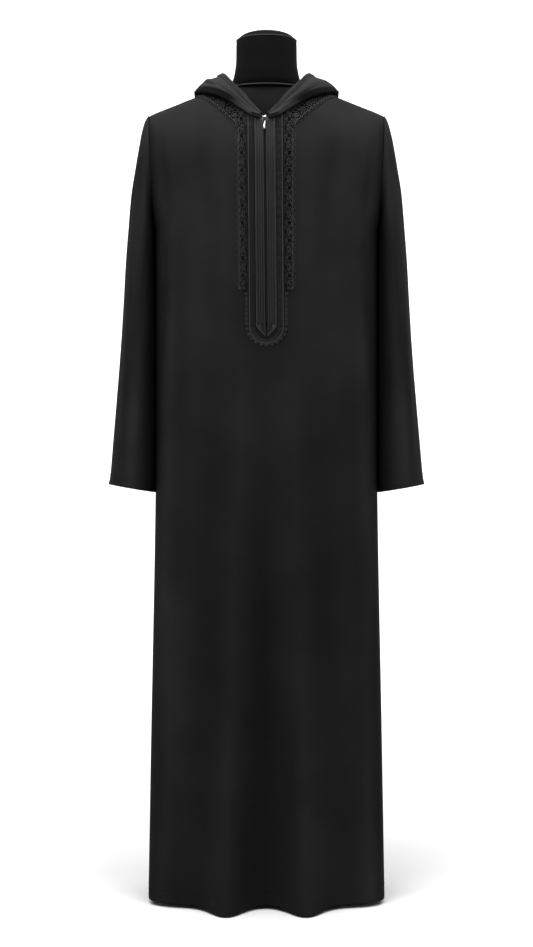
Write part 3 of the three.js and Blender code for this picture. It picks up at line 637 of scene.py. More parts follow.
# %% Crease tables and panels
FRONT_CREASES = table(
    "x top foot lean width deep",
    (-172, 1260, 880, -15, 10, -2.8),
    (-158, 1240, 820, -16, 14, 1.7),
    (171, 1265, 890, 14, 10, -2.7),
    (156, 1235, 800, 15, 14, 1.7),
    (-120, 1380, 1120, 38, 15, -1.7),
    (124, 1378, 1150, -34, 14, -1.6),
    (-178, 1370, 1180, 12, 7, -2.4),
    (180, 1368, 1170, -13, 7, -2.2),
    (-96, 980, 160, 4, 26, -2.0),
    (99, 930, 150, -6, 28, -1.9),
    (0, 900, -260, -2, 27, -3.4),
    (-66, 420, -160, -2, 26, 1.4),
    (66, 430, -160, 2, 26, 1.4),
    (-136, 800, 60, -14, 18, 1.6),
    (141, 740, 50, 12, 18, 1.5),
    (-172, 560, -40, -8, 10, -3.0),
    (176, 600, -40, 6, 10, -2.8),
    (-40, 1010, 560, -14, 13, 1.4),
    (44, 990, 600, 12, 14, 1.3),
)
BACK_CREASES = table(
    "x top foot lean width deep",
    (-170, 1230, 840, 12, 10, -4.6),
    (173, 1220, 880, -10, 9, -4.8),
    (-140, 1360, 1090, 44, 13, -2.4),
    (136, 1366, 1120, -40, 14, -2.2),
    (-60, 1180, 330, -6, 18, -3.6),
    (52, 1200, 380, 8, 19, -3.8),
    (-10, 1150, 500, 2, 16, 3.0),
    (-150, 820, 60, -6, 14, -4.0),
    (148, 860, 80, 8, 15, -3.6),
    (-108, 1000, 420, -4, 13, 2.6),
    (102, 960, 400, 3, 14, 2.4),
)
PAINTED_SHADE_DEPTH = 19  # millimetres of fold from the darkest painted shade to the lightest painted highlight
# painted shade on the panels by the armhole, low down and beside the placket, and painted light where the
# side turns out
PANEL_PAINTED_SHADING = {"plain": 0.5, "armhole": 0.4, "low": 0.2, "placket": 0.12, "side": 0.2}
EDGE_SHADE = 11  # painted shade darkens the cloth over this width towards the armhole and the side seam
HEM_STITCH = 20
PLACKET_QUIET = 56  # half width of the stiff field round the zip, which has no creases


def hem_groove(height, stitch=HEM_STITCH):
    return -0.55 * math.exp(-(((height - stitch) / 0.9) ** 2)) - 0.25 * math.exp(-((height / 1.2) ** 2))


# stores each point's painted shading, held between 0 and 1
def store_painted_shading(bm, painted_tones):
    layer = bm.verts.layers.float["painted_shading"]
    for vert, painted_tone in painted_tones.items():
        vert[layer] = min(max(painted_tone, 0.0), 1.0)


def fold_cloth(bm, moves, painted_tones):
    """Pushes each point along its normal by its move in millimetres, and stores its painted shading."""
    store_painted_shading(bm, painted_tones)
    for vert, move in moves.items():
        vert.co += vert.normal * move * MM


def panel_painted_shading(out, z, folded):
    """Painted shade by the armhole, low down and beside the placket, painted light where the side turns out;
    folds add painted shade in troughs and painted highlight on ridges.
    """
    armhole = PANEL_PAINTED_SHADING["armhole"] * math.exp(-(((CHEST_HALF - out) / EDGE_SHADE) ** 2)) * eased((1400 - z) / 60)
    low = PANEL_PAINTED_SHADING["low"] * eased((1250 - z) / 600)
    placket = PANEL_PAINTED_SHADING["placket"] * eased((78 - out) / 50) * eased((1340 - z) / 120) * eased((z - 850) / 150)
    side = PANEL_PAINTED_SHADING["side"] * eased((out - 148) / 28) * eased((1270 - z) / 90)
    return PANEL_PAINTED_SHADING["plain"] + folded / PAINTED_SHADE_DEPTH - armhole - (low + placket) + side


def over_neck_trim(column, level):
    """True inside the oval of the neckline's trim, where the cloth is kept flat."""
    share = abs(column) / (NECK_TRIM_HALF + 12)
    if level <= 1 or share >= 1:
        return False
    forward = (NECK_TRIM_FRONT + 10) * math.sqrt(1 - share * share)
    return math.cos((level - 1) * math.pi / 2) * depth_at(-1, column, CHEST_LINE) < forward


def panel_columns():
    turns = [math.pi / 2 * i / 58 for i in range(59)]
    half = [CHEST_HALF * math.sin(t) ** (2 / 2.6) for t in turns if math.sin(t) > 0.002]
    inner = [c for c in half if c > 6.0]
    return [-c for c in reversed(inner)] + [-4.5, -2.0, 2.0, 4.5] + inner


def panel_levels():
    low = [level_of(0, z) for z in spaced(HEM, 36, 1.4)[1:]]
    body = [level_of(0, z) for z in spaced(44, CHEST_LINE, 8)]
    return [0.0, *low, *body, *spaced(1.03, 2.0, 0.03)]


def in_slit(point):
    return abs(point.x - lean_at(point.z)) < 4.4 and point.z > ZIP_END


def cloth_panel(side, name, creases, width):
    def point(column, level):
        if level > 1 and abs(column) < NECK_HALF:
            level = 1 + (level - 1) * (neckline_level(side, column) - 1)
        return body_point(side, column, level)

    levels = panel_levels()
    bm, places = grid_piece(panel_columns(), levels, point, (width, 1.5))
    columns = panel_columns()
    moves, painted_tones = {}, {}
    for vert, (i, j) in places.items():
        column = columns[i]
        z = vert.co.z / MM
        quiet = 1.0
        if side < 0 and z > 970:
            quiet = min(1.0, max(0.0, (abs(column) - PLACKET_QUIET) / 24))
        near_edge = min(1.0, (CHEST_HALF - abs(column)) / 12)
        near_top = min(1.0, max(0.0, (2.0 - levels[j]) / 0.2)) if levels[j] > 1 else 1.0
        if side < 0 and over_neck_trim(column, levels[j]):
            quiet = 0.0
        soft = quiet * near_edge * near_top
        ripple = hang_ripple(column, z, 3.1 if side < 0 else 8.7, 1.5)
        folded = (crease_depth(creases, column, z) + ripple) * soft
        moves[vert] = folded + hem_groove(z - HEM)
        # painted shade in the troughs of the folds and painted highlight on their ridges
        painted_tones[vert] = panel_painted_shading(abs(column), z, folded)
    fold_cloth(bm, moves, painted_tones)
    if side < 0:
        slit = [face for face in bm.faces if in_slit(face.calc_center_median() / MM)]
        bmesh.ops.delete(bm, geom=slit, context="FACES")
    piece = shell(bm, name, CREPE)
    print(name, "area", round(surface_area(piece), 3))
    return piece


front = cloth_panel(-1, "front_cloth", FRONT_CREASES, 0.62)
back = cloth_panel(1, "back_cloth", BACK_CREASES, 0.64)


# %% [markdown]
# ## Sleeves
# A straight sleeve is one piece folded round and joined under the arm. Here it is a grid wrapped
# into a tube, merged along its seam, with the cuff's hem stitched 18 mm above its edge.

# %% Sleeve table and tubes
SLEEVE = table(
    "row outX outZ inX inZ deep",
    (0, TIP_HALF + 1.0, SHOULDER_TIP, 197.9, UNDERARM, ARMHOLE_DEPTH),
    (1, 214.5, 1381, 199.4, 1184, 60),
    (2, 221.0, 1357, 199.6, 1176, 62),
    (3, 225.5, 1328, 199.4, 1166, 64),
    (4, 229.5, 1297, 199.0, 1150, 65),
    (5, 237.5, 1243, 198.6, 1128, 66),
    (6, 246.5, 1142, 198.2, 1080, 66),
    (7, 252.5, 1050, 198.0, 1010, 66),
    (8, 259.0, 958, 197.9, 935, 66),
    (9, 265.0, 885, 197.8, 865, 66),
    (10, 271.0, 815, 197.7, 798, 66),
    (11, 276.0, 757, 197.7, 742, 66),
    (12, 279.3, 737, 197.7, 722.6, 66.5),
)
SLEEVE_CREASES = table(
    "turn from to lean width deep",
    (-62, 0.6, 5.5, 40, 13, -2.6),
    (-28, 1.0, 7.5, 14, 10, -2.0),
    (-105, 3.5, 9.0, 36, 11, -2.6),
    (-50, 6.0, 11.4, -16, 13, -2.2),
    (-84, 7.5, 12.0, 10, 10, 2.0),
    (58, 0.8, 6.0, -36, 13, -2.8),
    (96, 3.0, 9.5, -26, 12, -2.6),
    (44, 6.5, 11.6, 18, 12, -2.2),
    (12, 7.0, 11.8, -8, 10, 1.6),
    (82, 8.0, 12.0, -6, 10, 2.0),
)
CUFF_ROW = 12
CUFF_STITCH = 18
# painted shading of the sleeves: a plain level, painted shade on the inside against the body, painted
# highlight at the head
SLEEVE_PAINTED_SHADING = {"plain": 0.46, "inside": 0.4, "head": 0.12}
sleeve_track = {name: tracked(SLEEVE, "row", name) for name in ("outX", "outZ", "inX", "inZ", "deep")}


def sleeve_point(side, degrees, row):
    turn = math.radians(degrees)
    share = (1 + math.cos(turn)) / 2
    at = {name: track(row) for name, track in sleeve_track.items()}
    return Vector((
        side * mix(at["inX"], at["outX"], share),
        at["deep"] * math.sin(turn),
        mix(at["inZ"], at["outZ"], share),
    ))


def sleeve_crease(degrees, row):
    total = 0.0
    for crease in SLEEVE_CREASES:
        run = (row - crease["from"]) / (crease["to"] - crease["from"])
        if not 0 < run < 1:
            continue
        away = (degrees - crease["turn"] - crease["lean"] * run + 180) % 360 - 180
        total += crease["deep"] * math.exp(-((away / crease["width"]) ** 2)) * math.sin(math.pi * run)
    return total


def cloth_sleeve(side, name):
    turns = spaced(0, 360, 4)
    rows = [*spaced(0, 10.6, 0.11), *spaced(10.68, CUFF_ROW, 0.055)]
    bm, places = grid_piece(
        turns, rows, lambda degrees, row: sleeve_point(side, degrees, row), (0.33, 0.67), wrap=True
    )
    if side < 0:
        bmesh.ops.reverse_faces(bm, faces=bm.faces)
        bm.normal_update()
    moves, painted_tones = {}, {}
    for vert in bm.verts:
        i, j = places[vert]
        degrees, row = turns[i], rows[j]
        inner = (1 - math.cos(math.radians(degrees))) / 2
        free = (1 - inner**4) * min(1.0, row / 1.2)
        cuff = sleeve_point(side, degrees, CUFF_ROW).z
        below = vert.co.z / MM - cuff
        ripple = hang_ripple(degrees * 1.1 + side * 400, vert.co.z / MM, 5.3, 1.3)
        stitched = hem_groove(below, CUFF_STITCH) if row > CUFF_ROW - 3 else 0.0
        folded = (sleeve_crease(degrees if side > 0 else degrees + 6, row) + ripple) * free
        moves[vert] = folded + stitched
        # painted shade on the inner side, where the sleeve lies against the body, and painted highlight at
        # its head
        against_body = eased((inner - 0.45) / 0.5)
        shade = SLEEVE_PAINTED_SHADING["inside"] * against_body
        head = SLEEVE_PAINTED_SHADING["head"] * eased(1 - row / 1.5)
        painted_tones[vert] = SLEEVE_PAINTED_SHADING["plain"] + folded / PAINTED_SHADE_DEPTH - shade + head
    fold_cloth(bm, moves, painted_tones)
    piece = shell(bm, name, CREPE)
    print(name, "area", round(surface_area(piece), 3))
    return piece


sleeves = {name: cloth_sleeve(side, f"sleeve_cloth_{name}") for name, side in SIDES}

# %% [markdown]
# ## The hood, worn down
# Worn down, the hood rolls over round the neckline and falls in a pouch at the back. Each section
# runs from the free edge over the roll and back under it to the neckline seam, as one curve.

# %% Hood table and sections
HOOD = table(
    "turn edgeIn edgeUp browOut browUp footC footZ puff braid",
    (5, 1.5, 5, 3, 5.2, 9, 1367, 8.4, 5),
    (16, 3, 13, 1.5, 8, 26, 1373, 9.2, 9),
    (28, 5, 18.5, 1, 9.4, 42, 1384, 12, 11),
    (42, 5, 19.6, 1.5, 10.6, 60, 1396, 13.5, 11),
    (56, 4.5, 19.8, 3, 11.8, 79, 1407, 16, 11),
    (68, 3.5, 22.3, 5, 15.5, 99, 1415.5, 18.5, 11),
    (80, 0.5, 22.8, 8.5, 17.5, 115, 1422, 20, 11),
    (92, 0, 22.5, 10, 18, 119, 1421, 21, 11),
    (106, 1.5, 21.5, 9, 18, 119, 1392, 24, 11),
    (122, 2, 20.5, 8.5, 17, 112, 1345, 30, 11),
    (138, 3, 19.5, 8, 16, 92, 1275, 36, 11),
    (153, 3, 19, 8, 15.5, 60, 1212, 40, 11),
    (167, 3, 18.5, 8, 15, 26, 1168, 42, 11),
    (180, 3, 18.5, 8, 15, 0, 1146, 42, 11),
)
HOOD_PUFF_AT = 0.55
HOOD_UNDER_LIFT = 2.4
HOOD_UNDER_SHARE = 0.12
HOOD_UNDER_AT = (0.72, 0.5, 0.3, 0.14)
HOOD_SEAM_LIFT = 1.7
HOOD_SEAM_OUT = 1.3
HOOD_FOLD = {"least": 2.6, "share": 0.28, "most": 7}
hood_track = {name: tracked(HOOD, "turn", name) for name in HOOD[0] if name != "turn"}


def through(points, per_span=10):
    """A centripetal curve through points, as (points, running length)."""
    ends = [points[0] * 2 - points[1], *points, points[-1] * 2 - points[-2]]
    made = []
    for i in range(1, len(ends) - 2):
        p0, p1, p2, p3 = ends[i - 1 : i + 3]
        d0, d1, d2 = (max((b - a).length, 1e-6) ** 0.5 for a, b in ((p0, p1), (p1, p2), (p2, p3)))
        t1 = ((p1 - p0) / d0 - (p2 - p0) / (d0 + d1) + (p2 - p1) / d1) * d1
        t2 = ((p2 - p1) / d1 - (p3 - p1) / (d1 + d2) + (p3 - p2) / d2) * d1
        for k in range(per_span):
            s = k / per_span
            s2, s3 = s * s, s * s * s
            made.append(
                p1 * (2 * s3 - 3 * s2 + 1) + t1 * (s3 - 2 * s2 + s) + p2 * (3 * s2 - 2 * s3) + t2 * (s3 - s2)
            )
    made.append(points[-1].copy())
    lengths = [0.0]
    for a, b in zip(made, made[1:]):
        lengths.append(lengths[-1] + (b - a).length)
    return made, lengths


def along(line, distance):
    points, lengths = line
    distance = min(max(distance, 0.0), lengths[-1])
    i = min(max(bisect.bisect_right(lengths, distance) - 1, 0), len(lengths) - 2)
    share = (distance - lengths[i]) / max(lengths[i + 1] - lengths[i], 1e-9)
    return points[i].lerp(points[i + 1], share)


def hood_section(side, degrees):
    """From the free edge over the roll, round the fold at its foot and back to the seam."""
    row = {name: track(degrees) for name, track in hood_track.items()}
    turn = math.radians(degrees)
    face = -1 if math.cos(turn) > 0 else 1
    out = Vector((side * math.sin(turn), -math.cos(turn), 0))
    column = max(NECK_HALF * math.sin(turn), 0.5)
    level = min(neckline_level(face, column), 2.0)
    foot_level = level_of(row["footC"], row["footZ"])

    def between(share, distance):
        at = side * mix(column, row["footC"], share)
        return off_level(face, at, mix(level, foot_level, share), distance)

    on_body = between(0, 0)
    edge = on_body - out * row["edgeIn"] + Vector((0, 0, row["edgeUp"]))
    brow = on_body + out * row["browOut"] + Vector((0, 0, row["browUp"]))
    length = (between(1, 0) - on_body).length
    lift = HOOD_UNDER_LIFT + HOOD_UNDER_SHARE * row["puff"]
    fold_high = HOOD_FOLD["least"] + HOOD_FOLD["share"] * row["puff"]
    round_off = min(HOOD_FOLD["most"], fold_high, 0.9 * length) / 2
    reach = round_off / length
    fold = []
    for slant in (90, 45, 0, -45, -90):
        ahead, up = math.cos(math.radians(slant)), math.sin(math.radians(slant))
        fold.append(between(1 - reach * (1 - ahead), lift + round_off * (1 + up)))
    under = [between(share * (1 - reach), lift) for share in HOOD_UNDER_AT]
    seam = between(0, HOOD_SEAM_LIFT) + out * HOOD_SEAM_OUT
    widest = between(HOOD_PUFF_AT * (1 - reach), row["puff"])
    return through([edge, brow, widest, *fold, *under, seam])


HOOD_TURNS = spaced(5, 180, 2.5)
hood_lines = {side: [hood_section(side, degrees) for degrees in HOOD_TURNS] for side in (-1, 1)}
print("hood section lengths", [round(line[1][-1]) for line in hood_lines[1][::14]])


# %% Hood halves
HOOD_CREASES = table(
    "turn at width reach deep",
    (40, 0.40, 0.04, 36, -4.4),
    (50, 0.30, 0.045, 34, 3.2),
    (56, 0.215, 0.03, 34, -2.6),
    (76, 0.36, 0.035, 12, -3.6),
    (88, 0.26, 0.05, 16, 2.2),
    (104, 0.17, 0.04, 18, -2.4),
    (118, 0.36, 0.05, 28, -3.4),
    (146, 0.22, 0.05, 26, -3.6),
    (172, 0.40, 0.05, 22, -3.2),
    (132, 0.48, 0.05, 30, 2.6),
)
HOOD_STEPS = 64
# painted light on the roll's crest and painted shade in the fold under the front of the roll
HOOD_PAINTED_SHADE_DEPTH = 4.5
HOOD_PAINTED_SHADING = {"crest": 1.15, "fold": 1.25, "fold_from": 0.42, "fold_over": 0.06}


def hood_crease(degrees, share, side):
    total = 0.0
    for row in HOOD_CREASES:
        far = (degrees - row["turn"] - side * 4) / row["reach"]
        if abs(far) < 1:
            near = (share - row["at"] - 0.05 * far * side) / row["width"]
            total += row["deep"] * math.exp(-near * near) * math.cos(far * math.pi / 2) ** 2
    return total


def own_side(point, side, gap=0.1):
    return Vector((side * max(side * point.x, gap), point.y, point.z))


def cloth_hood(side, name):
    shares = spaced(0, 1, 1 / HOOD_STEPS)
    lines = hood_lines[side]

    def point(degrees, share):
        line = lines[HOOD_TURNS.index(degrees)]
        return own_side(along(line, share * line[1][-1]), side)

    bm, places = grid_piece(HOOD_TURNS, shares, point, (0.4, 0.25))
    crests = [vert.normal.z for vert in bm.verts if shares[places[vert][1]] * HOOD_STEPS in (3, 4, 5)]
    if sum(crests) < 0:
        bmesh.ops.reverse_faces(bm, faces=bm.faces)
        bm.normal_update()
    painted_tones = {}
    for vert in list(bm.verts):
        i, j = places[vert]
        share = shares[j]
        free = min(1.0, share / 0.09) * min(1.0, max(0.0, (0.66 - share) / 0.12))
        calm = min(1.0, (HOOD_TURNS[i] - 5) / 20)
        ripple = 1.4 * noise.noise(Vector((HOOD_TURNS[i] / 26, share * 7, 4.0 + side)))
        folded = (hood_crease(HOOD_TURNS[i], share, side) + ripple) * free * calm
        vert.co += vert.normal * folded * MM
        vert.co.x = side * max(side * vert.co.x, 0.0001)
        # painted shade in the fold at the foot of the roll, on the front only; the creases add painted shade
        # and painted highlight
        front = eased((100 - HOOD_TURNS[i]) / 20) * eased((HOOD_TURNS[i] - 22) / 26)
        under = eased((share - HOOD_PAINTED_SHADING["fold_from"]) / HOOD_PAINTED_SHADING["fold_over"]) * front
        painted_tones[vert] = HOOD_PAINTED_SHADING["crest"] + folded / HOOD_PAINTED_SHADE_DEPTH - HOOD_PAINTED_SHADING["fold"] * under
    store_painted_shading(bm, painted_tones)
    piece = shell(bm, name, CREPE)
    print(name, "area", round(surface_area(piece), 3))
    return piece


hoods = {name: cloth_hood(side, f"hood_cloth_{name}") for name, side in SIDES}

# %% [markdown]
# ## Cords
# Braid, lace and piping are all cords laid on cloth. A cord is a line of points with a round
# section, and a rope is two cords that wind about one line. Many lines become one curve with many
# splines, and then one mesh.


# %% Cord helpers
def cords(name, lines, radius, material, sides=1):
    """Lines of points in millimetres, each a round cord, joined in one mesh."""
    curve = bpy.data.curves.new(name, "CURVE")
    curve.dimensions = "3D"
    curve.bevel_depth = radius * MM
    curve.bevel_resolution = sides
    curve.use_fill_caps = True
    for points in lines:
        closed = (points[0] - points[-1]).length < 0.01
        kept = points[:-1] if closed else points
        spline = curve.splines.new("POLY")
        spline.points.add(len(kept) - 1)
        spline.use_cyclic_u = closed
        spline.use_smooth = True
        for slot, point in zip(spline.points, kept):
            slot.co = (*(point * MM), 1)
    drawn = new_object(name + "_lines", curve)
    mesh = baked(drawn)
    bpy.data.objects.remove(drawn)
    bpy.data.curves.remove(curve)
    mesh.name = name
    mesh.materials.clear()
    mesh.materials.append(material)
    return new_object(name, mesh)


def rope(place, length, offset, pitch, strands=2, step=0.8, start=0.0):
    """Strands that wind about a line. place(distance, sideways, up) gives a point."""
    lines = []
    for k in range(strands):
        line = []
        for distance in spaced(start, start + length, step):
            turn = 2 * math.pi * (distance / pitch + k / strands)
            line.append(place(distance, offset * math.cos(turn), offset * math.sin(turn)))
        lines.append(line)
    return lines


def joined(name, pieces):
    """Several meshes made one, with their own materials."""
    bm = bmesh.new()
    materials = []
    for piece in pieces:
        first = len(bm.faces)
        bm.from_mesh(piece.data)
        bm.faces.ensure_lookup_table()
        material = piece.data.materials[0]
        if material not in materials:
            materials.append(material)
        for face in bm.faces[first:]:
            face.material_index = materials.index(material)
            face.smooth = True
        bpy.data.objects.remove(piece)
    return made_of(name, bm, *materials)


def trim_strip(name, profile, stations, place, material, size):
    """A closed strip: profile is (sideways, up) points all round, and stations are along it."""
    ring = [*profile, profile[0]]
    bm, _ = grid_piece(list(range(len(ring))), stations, lambda k, s: place(s, *ring[k]), size, wrap=True)
    ends = [edge for edge in bm.edges if edge.is_boundary]
    bmesh.ops.holes_fill(bm, edges=ends, sides=0)
    bmesh.ops.recalc_face_normals(bm, faces=bm.faces)
    return made_of(name, bm, material)


# %% [markdown]
# ## Braid along the hood's edge
# A narrow braid finishes the free edge: a plain band with two fine lines, a groove, then a corded
# band. It is laid along the hood's own sections, by distance from the edge.

# %% Hood braid
BRAID_WIDE = 9.0
HOOD_BAND = [  # (across, up) round the braid's section
    (0.1, 0.2), (0.15, 1.2), (0.6, 1.9), (1.1, 1.3), (1.5, 1.0), (2.4, 1.0), (2.8, 1.3), (3.2, 1.7),
    (3.6, 1.1), (3.9, 0.4), (4.7, 0.4), (5.1, 1.0), (6.8, 1.1), (8.6, 1.0), (8.9, 0.2),
]
BRAID_LINES = ((0.6, 1.9), (3.2, 1.7), (8.5, 1.3))  # (across, up) of the fine cords
BRAID_LINE_THICK, BRAID_CORD_THICK = 0.3, 0.6
BRAID_MARGIN = 1.8  # what the solid braid reaches past the fine one
MM_PER_DEGREE = 1.55  # mean length of the edge for each degree of the table
BRAID_CORD_AT = 6.7


def hood_at(side, degrees, distance, up):
    where = (degrees - HOOD_TURNS[0]) / (HOOD_TURNS[1] - HOOD_TURNS[0])
    i = min(max(int(where), 0), len(HOOD_TURNS) - 2)
    low, high = hood_lines[side][i], hood_lines[side][i + 1]

    def at(far):
        return along(low, far).lerp(along(high, far), where - i)

    way_round = along(high, distance) - along(low, distance)
    normal = side * way_round.cross(at(distance + 0.8) - at(distance - 0.8)).normalized()
    return own_side(at(distance) - normal * up, side)


def braid_at(side, degrees, across, up):
    """across runs over the braid's full width of 9 mm, and is scaled where the braid narrows."""
    return hood_at(side, degrees, across * (hood_track["braid"](degrees) - BRAID_MARGIN) / BRAID_WIDE, up)


def hood_braid(side, name):
    first, last = HOOD_TURNS[0], HOOD_TURNS[-1]
    band = trim_strip(
        name + "_band", HOOD_BAND, spaced(first, last, 1.25),
        lambda t, s, up: braid_at(side, t, s, up + 0.2), SATIN, (0.03, 0.5),
    )
    lines = rope(
        lambda d, s, up: braid_at(side, first + d / MM_PER_DEGREE, BRAID_CORD_AT + s, 1.4 + up * 0.5),
        (last - first) * MM_PER_DEGREE, 0.95, 6.0,
    )
    corded = cords(name + "_cords", lines, BRAID_CORD_THICK, THREAD)
    edges = [
        [braid_at(side, turn, across, up) for turn in spaced(first, last, 2.5)] for across, up in BRAID_LINES
    ]
    lined = cords(name + "_lines", edges, BRAID_LINE_THICK, SATIN_CORD)
    return joined(name, [band, corded, lined])


hood_braids = {name: hood_braid(side, f"hood_edge_braid_{name}") for name, side in SIDES}

# %% [markdown]
# ## Placket bands and zip
# Beside the zip lie two satin bands with corded edges and a row of slanting stitches, cut to a
# point below the zip. A coil of small teeth shows in the gap between them.

# %% Placket bands
BAND_IN = 1.2
BAND_WIDE = 16.6
BAND_TIP = 991
BAND_TOP = 1369
TRIM_LIFT = 0.45
BAND_PROFILE = [  # (sideways, up) round the band's section
    (0.0, 0.0), (0.05, 1.6), (0.5, 2.5), (1.2, 2.6), (1.8, 2.0), (2.3, 1.7), (5.0, 1.9), (8.0, 2.0),
    (11.0, 1.9), (13.6, 1.6), (14.0, 1.9), (14.5, 2.4), (15.0, 1.9), (15.4, 1.9), (15.9, 2.3),
    (16.4, 1.6), (16.6, 0.0),
]
STITCH_IN = 6.4
STITCH_PITCH = 3.6
EDGE_CORDS = (  # (sideways, up, thickness)
    (2.0, 2.2, 0.3), (10.2, 2.1, 0.2), (14.2, 2.3, 0.26), (15.8, 2.2, 0.5),
)


def placket_at(side, z, sideways, up):
    return off_body(-1, side * (BAND_IN + sideways), z, TRIM_LIFT + up)


def placket_band(side, name):
    def mitred(z, sideways, up):
        limit = max(1.2, BAND_WIDE * min(1.0, (z - BAND_TIP) / (ZIP_END - BAND_TIP)))
        squeezed = sideways * limit / BAND_WIDE
        return placket_at(side, z, squeezed, up if limit > 4 else up * 0.8)

    stations = [*spaced(BAND_TIP, ZIP_END, 1.5), *spaced(ZIP_END + 4, BAND_TOP, 6)]
    band = trim_strip(name + "_satin", BAND_PROFILE, stations, mitred, SATIN, (0.03, 0.37))
    stitches = []
    for z in spaced(ZIP_END + 8, BAND_TOP - 4, STITCH_PITCH):
        stitches.append([placket_at(side, z + side * 0.8 * k, STITCH_IN + 0.9 * k, 2.2) for k in (-1, 0, 1)])
    stitched = cords(name + "_stitches", stitches, 0.5, SATIN_CORD)
    curl = []
    for share in spaced(0, 1, 0.04):
        turn, r = 9.5 * share, 2.9 * (1 - 0.8 * share)
        curl.append(placket_at(side, BAND_TIP + 17 + r * math.sin(turn), 10.6 + r * math.cos(turn), 2.2))
    curls = cords(name + "_curl", [curl], 0.42, SATIN_CORD)
    edge_cords = []
    for sideways, high, thick in EDGE_CORDS:
        lines = rope(
            lambda d, s, up: mitred(BAND_TIP + 2 + d, sideways + s, high + up * 0.7),
            BAND_TOP - BAND_TIP - 3, 0.2, 2.6, step=0.8,
        )
        edge_cords.append(cords(f"{name}_cord_{sideways}", lines, thick, SATIN_CORD, sides=0))
    return joined(name, [band, stitched, curls, *edge_cords])


placket = {name: placket_band(side, f"placket_satin_{name}") for name, side in SIDES}


# %% Zip coil and tape
TOOTH_PITCH = 2.1
TOOTH = (2.3, 0.62, 0.75)
TAPE_HALF = 7
CHAIN_LOW, CHAIN_HIGH = 1012, 1362


def zip_chain():
    tape_bm, _ = grid_piece(
        spaced(-TAPE_HALF, TAPE_HALF, 1.4), spaced(CHAIN_LOW, CHAIN_HIGH, 7),
        lambda c, z: off_body(-1, c, z, -CLOTH - 0.2), (0.014, 0.35),
    )
    tape = shell(tape_bm, "zip_tape", GROUND, 0.5)
    wall = tape.modifiers["cloth_wall"]
    tape_mesh = baked(tape)
    tape.modifiers.remove(wall)
    tape.data = tape_mesh
    bm = bmesh.new()
    row = 0
    for z in spaced(CHAIN_LOW + 1, CHAIN_HIGH - 1, TOOTH_PITCH / 2):
        side = 1 if row % 2 else -1
        row += 1
        middle = off_body(-1, side * 1.1, z, -0.4)
        normal = body_normal(-1, 0, level_of(0, z))
        made = bmesh.ops.create_uvsphere(bm, u_segments=8, v_segments=5, radius=1)["verts"]
        bmesh.ops.scale(bm, verts=made, vec=TOOTH)
        turn = normal.to_track_quat("Z", "Y").to_matrix().to_4x4()
        bmesh.ops.transform(bm, verts=made, matrix=Matrix.Translation(middle) @ turn)
    bmesh.ops.scale(bm, verts=bm.verts, vec=(MM, MM, MM))
    for face in bm.faces:
        face.smooth = True
    teeth = made_of("zip_teeth", bm, COIL)
    return joined("zip_coil", [teeth, tape])


zip_coil = zip_chain()
print("zip faces", len(zip_coil.data.polygons))

# %% [markdown]
# ## Scrolled cord embroidery
# The trim beside the placket is couched cord on a thin ground: an open net, a twisted cord, scrolls
# and a scalloped edge of loops. Below it narrows to a chain of loops and turns under the placket in
# a U. Each motif is drawn as lines over the front's surface.

# %% Embroidery sizes and ground
BORDER_IN = 18.4
BORDER_OUT = 48
BORDER_OUT_LOW = 36.5
BORDER_TOP = 1351
TAPER_TOP, TAPER_END = 1076, 1060
SCALLOP = 12
SCALLOP_DEPTH = 2.4
U_BOTTOM = 975
CORD_IN = 10.4
GROUND_THICK = 0.5
LACE_UP = 1.0


def lace_at(side, z, sideways, up):
    return off_body(-1, side * (BORDER_IN + sideways), z, TRIM_LIFT + up)


def scallop_at(distance):
    return SCALLOP_DEPTH * abs(math.sin(math.pi * distance / SCALLOP))


def border_wide(z):
    if z > TAPER_TOP:
        return BORDER_OUT - BORDER_IN + scallop_at(z - TAPER_TOP)
    share = min(1.0, (TAPER_TOP - z) / (TAPER_TOP - TAPER_END))
    return mix(BORDER_OUT, BORDER_OUT_LOW, share) - BORDER_IN


def ground_strip(name, across, stations, place, size):
    bm, _ = grid_piece(across, stations, place, size)
    made = shell(bm, name, GROUND, GROUND_THICK)
    mesh = baked(made)
    made.modifiers.clear()
    made.data = mesh
    return made


# %% Motifs
SCROLL_PITCH = 15
SCROLL_RADIUS = 6.3
NET_PITCH = 3.2
NET_IN, NET_OUT = 0.8, 9.8
LOOPS_OUT = 4.2  # the outermost loops lie past the ground, straight on the crepe
HOLE_PITCH = 8
HOLE_LINES = (2.3, 8.2)
NET_UP, NET_THICK = 0.7, 0.26
ROW_THICK = 0.5
LACE_THICK, CHAIN_THICK = 0.42, 0.48
TWIST = {"up": 1.1, "offset": 0.45, "pitch": 4.2, "thick": 0.46}
TRIM_TOP = 1386  # the side pattern runs on over the neckline's ground up to here
WAVE_IN = 11.9
SCROLL_IN = 20.0
LINK_PITCH = 8.4


def scroll(centre_along, centre_in, radius, turns, hand, place, start=0.0):
    """A spiral from its rim to its eye."""
    line = []
    for share in spaced(0, 1, 1 / 34):
        turn = start + hand * 2 * math.pi * turns * share
        r = radius * (1 - 0.86 * share)
        line.append(place(centre_along + r * math.sin(turn), centre_in + r * math.cos(turn)))
    return line


def loop(centre_along, centre_in, radius_along, radius_in, place, points=12):
    return [
        place(centre_along + radius_along * math.sin(t), centre_in + radius_in * math.cos(t))
        for t in [2 * math.pi * k / points for k in range(points + 1)]
    ]


def net(low, high, inner, outer, place):
    """Threads that cross on both slants between two lines."""
    lines = []
    wide = outer - inner
    for start in spaced(low - wide, high, NET_PITCH):
        for hand in (1, -1):
            line = []
            for share in spaced(0, 1, 1 / 6):
                a = start + wide * share
                if low <= a <= high:
                    line.append(place(a, inner + wide * (share if hand > 0 else 1 - share)))
            if len(line) > 1:
                lines.append(line)
    return lines


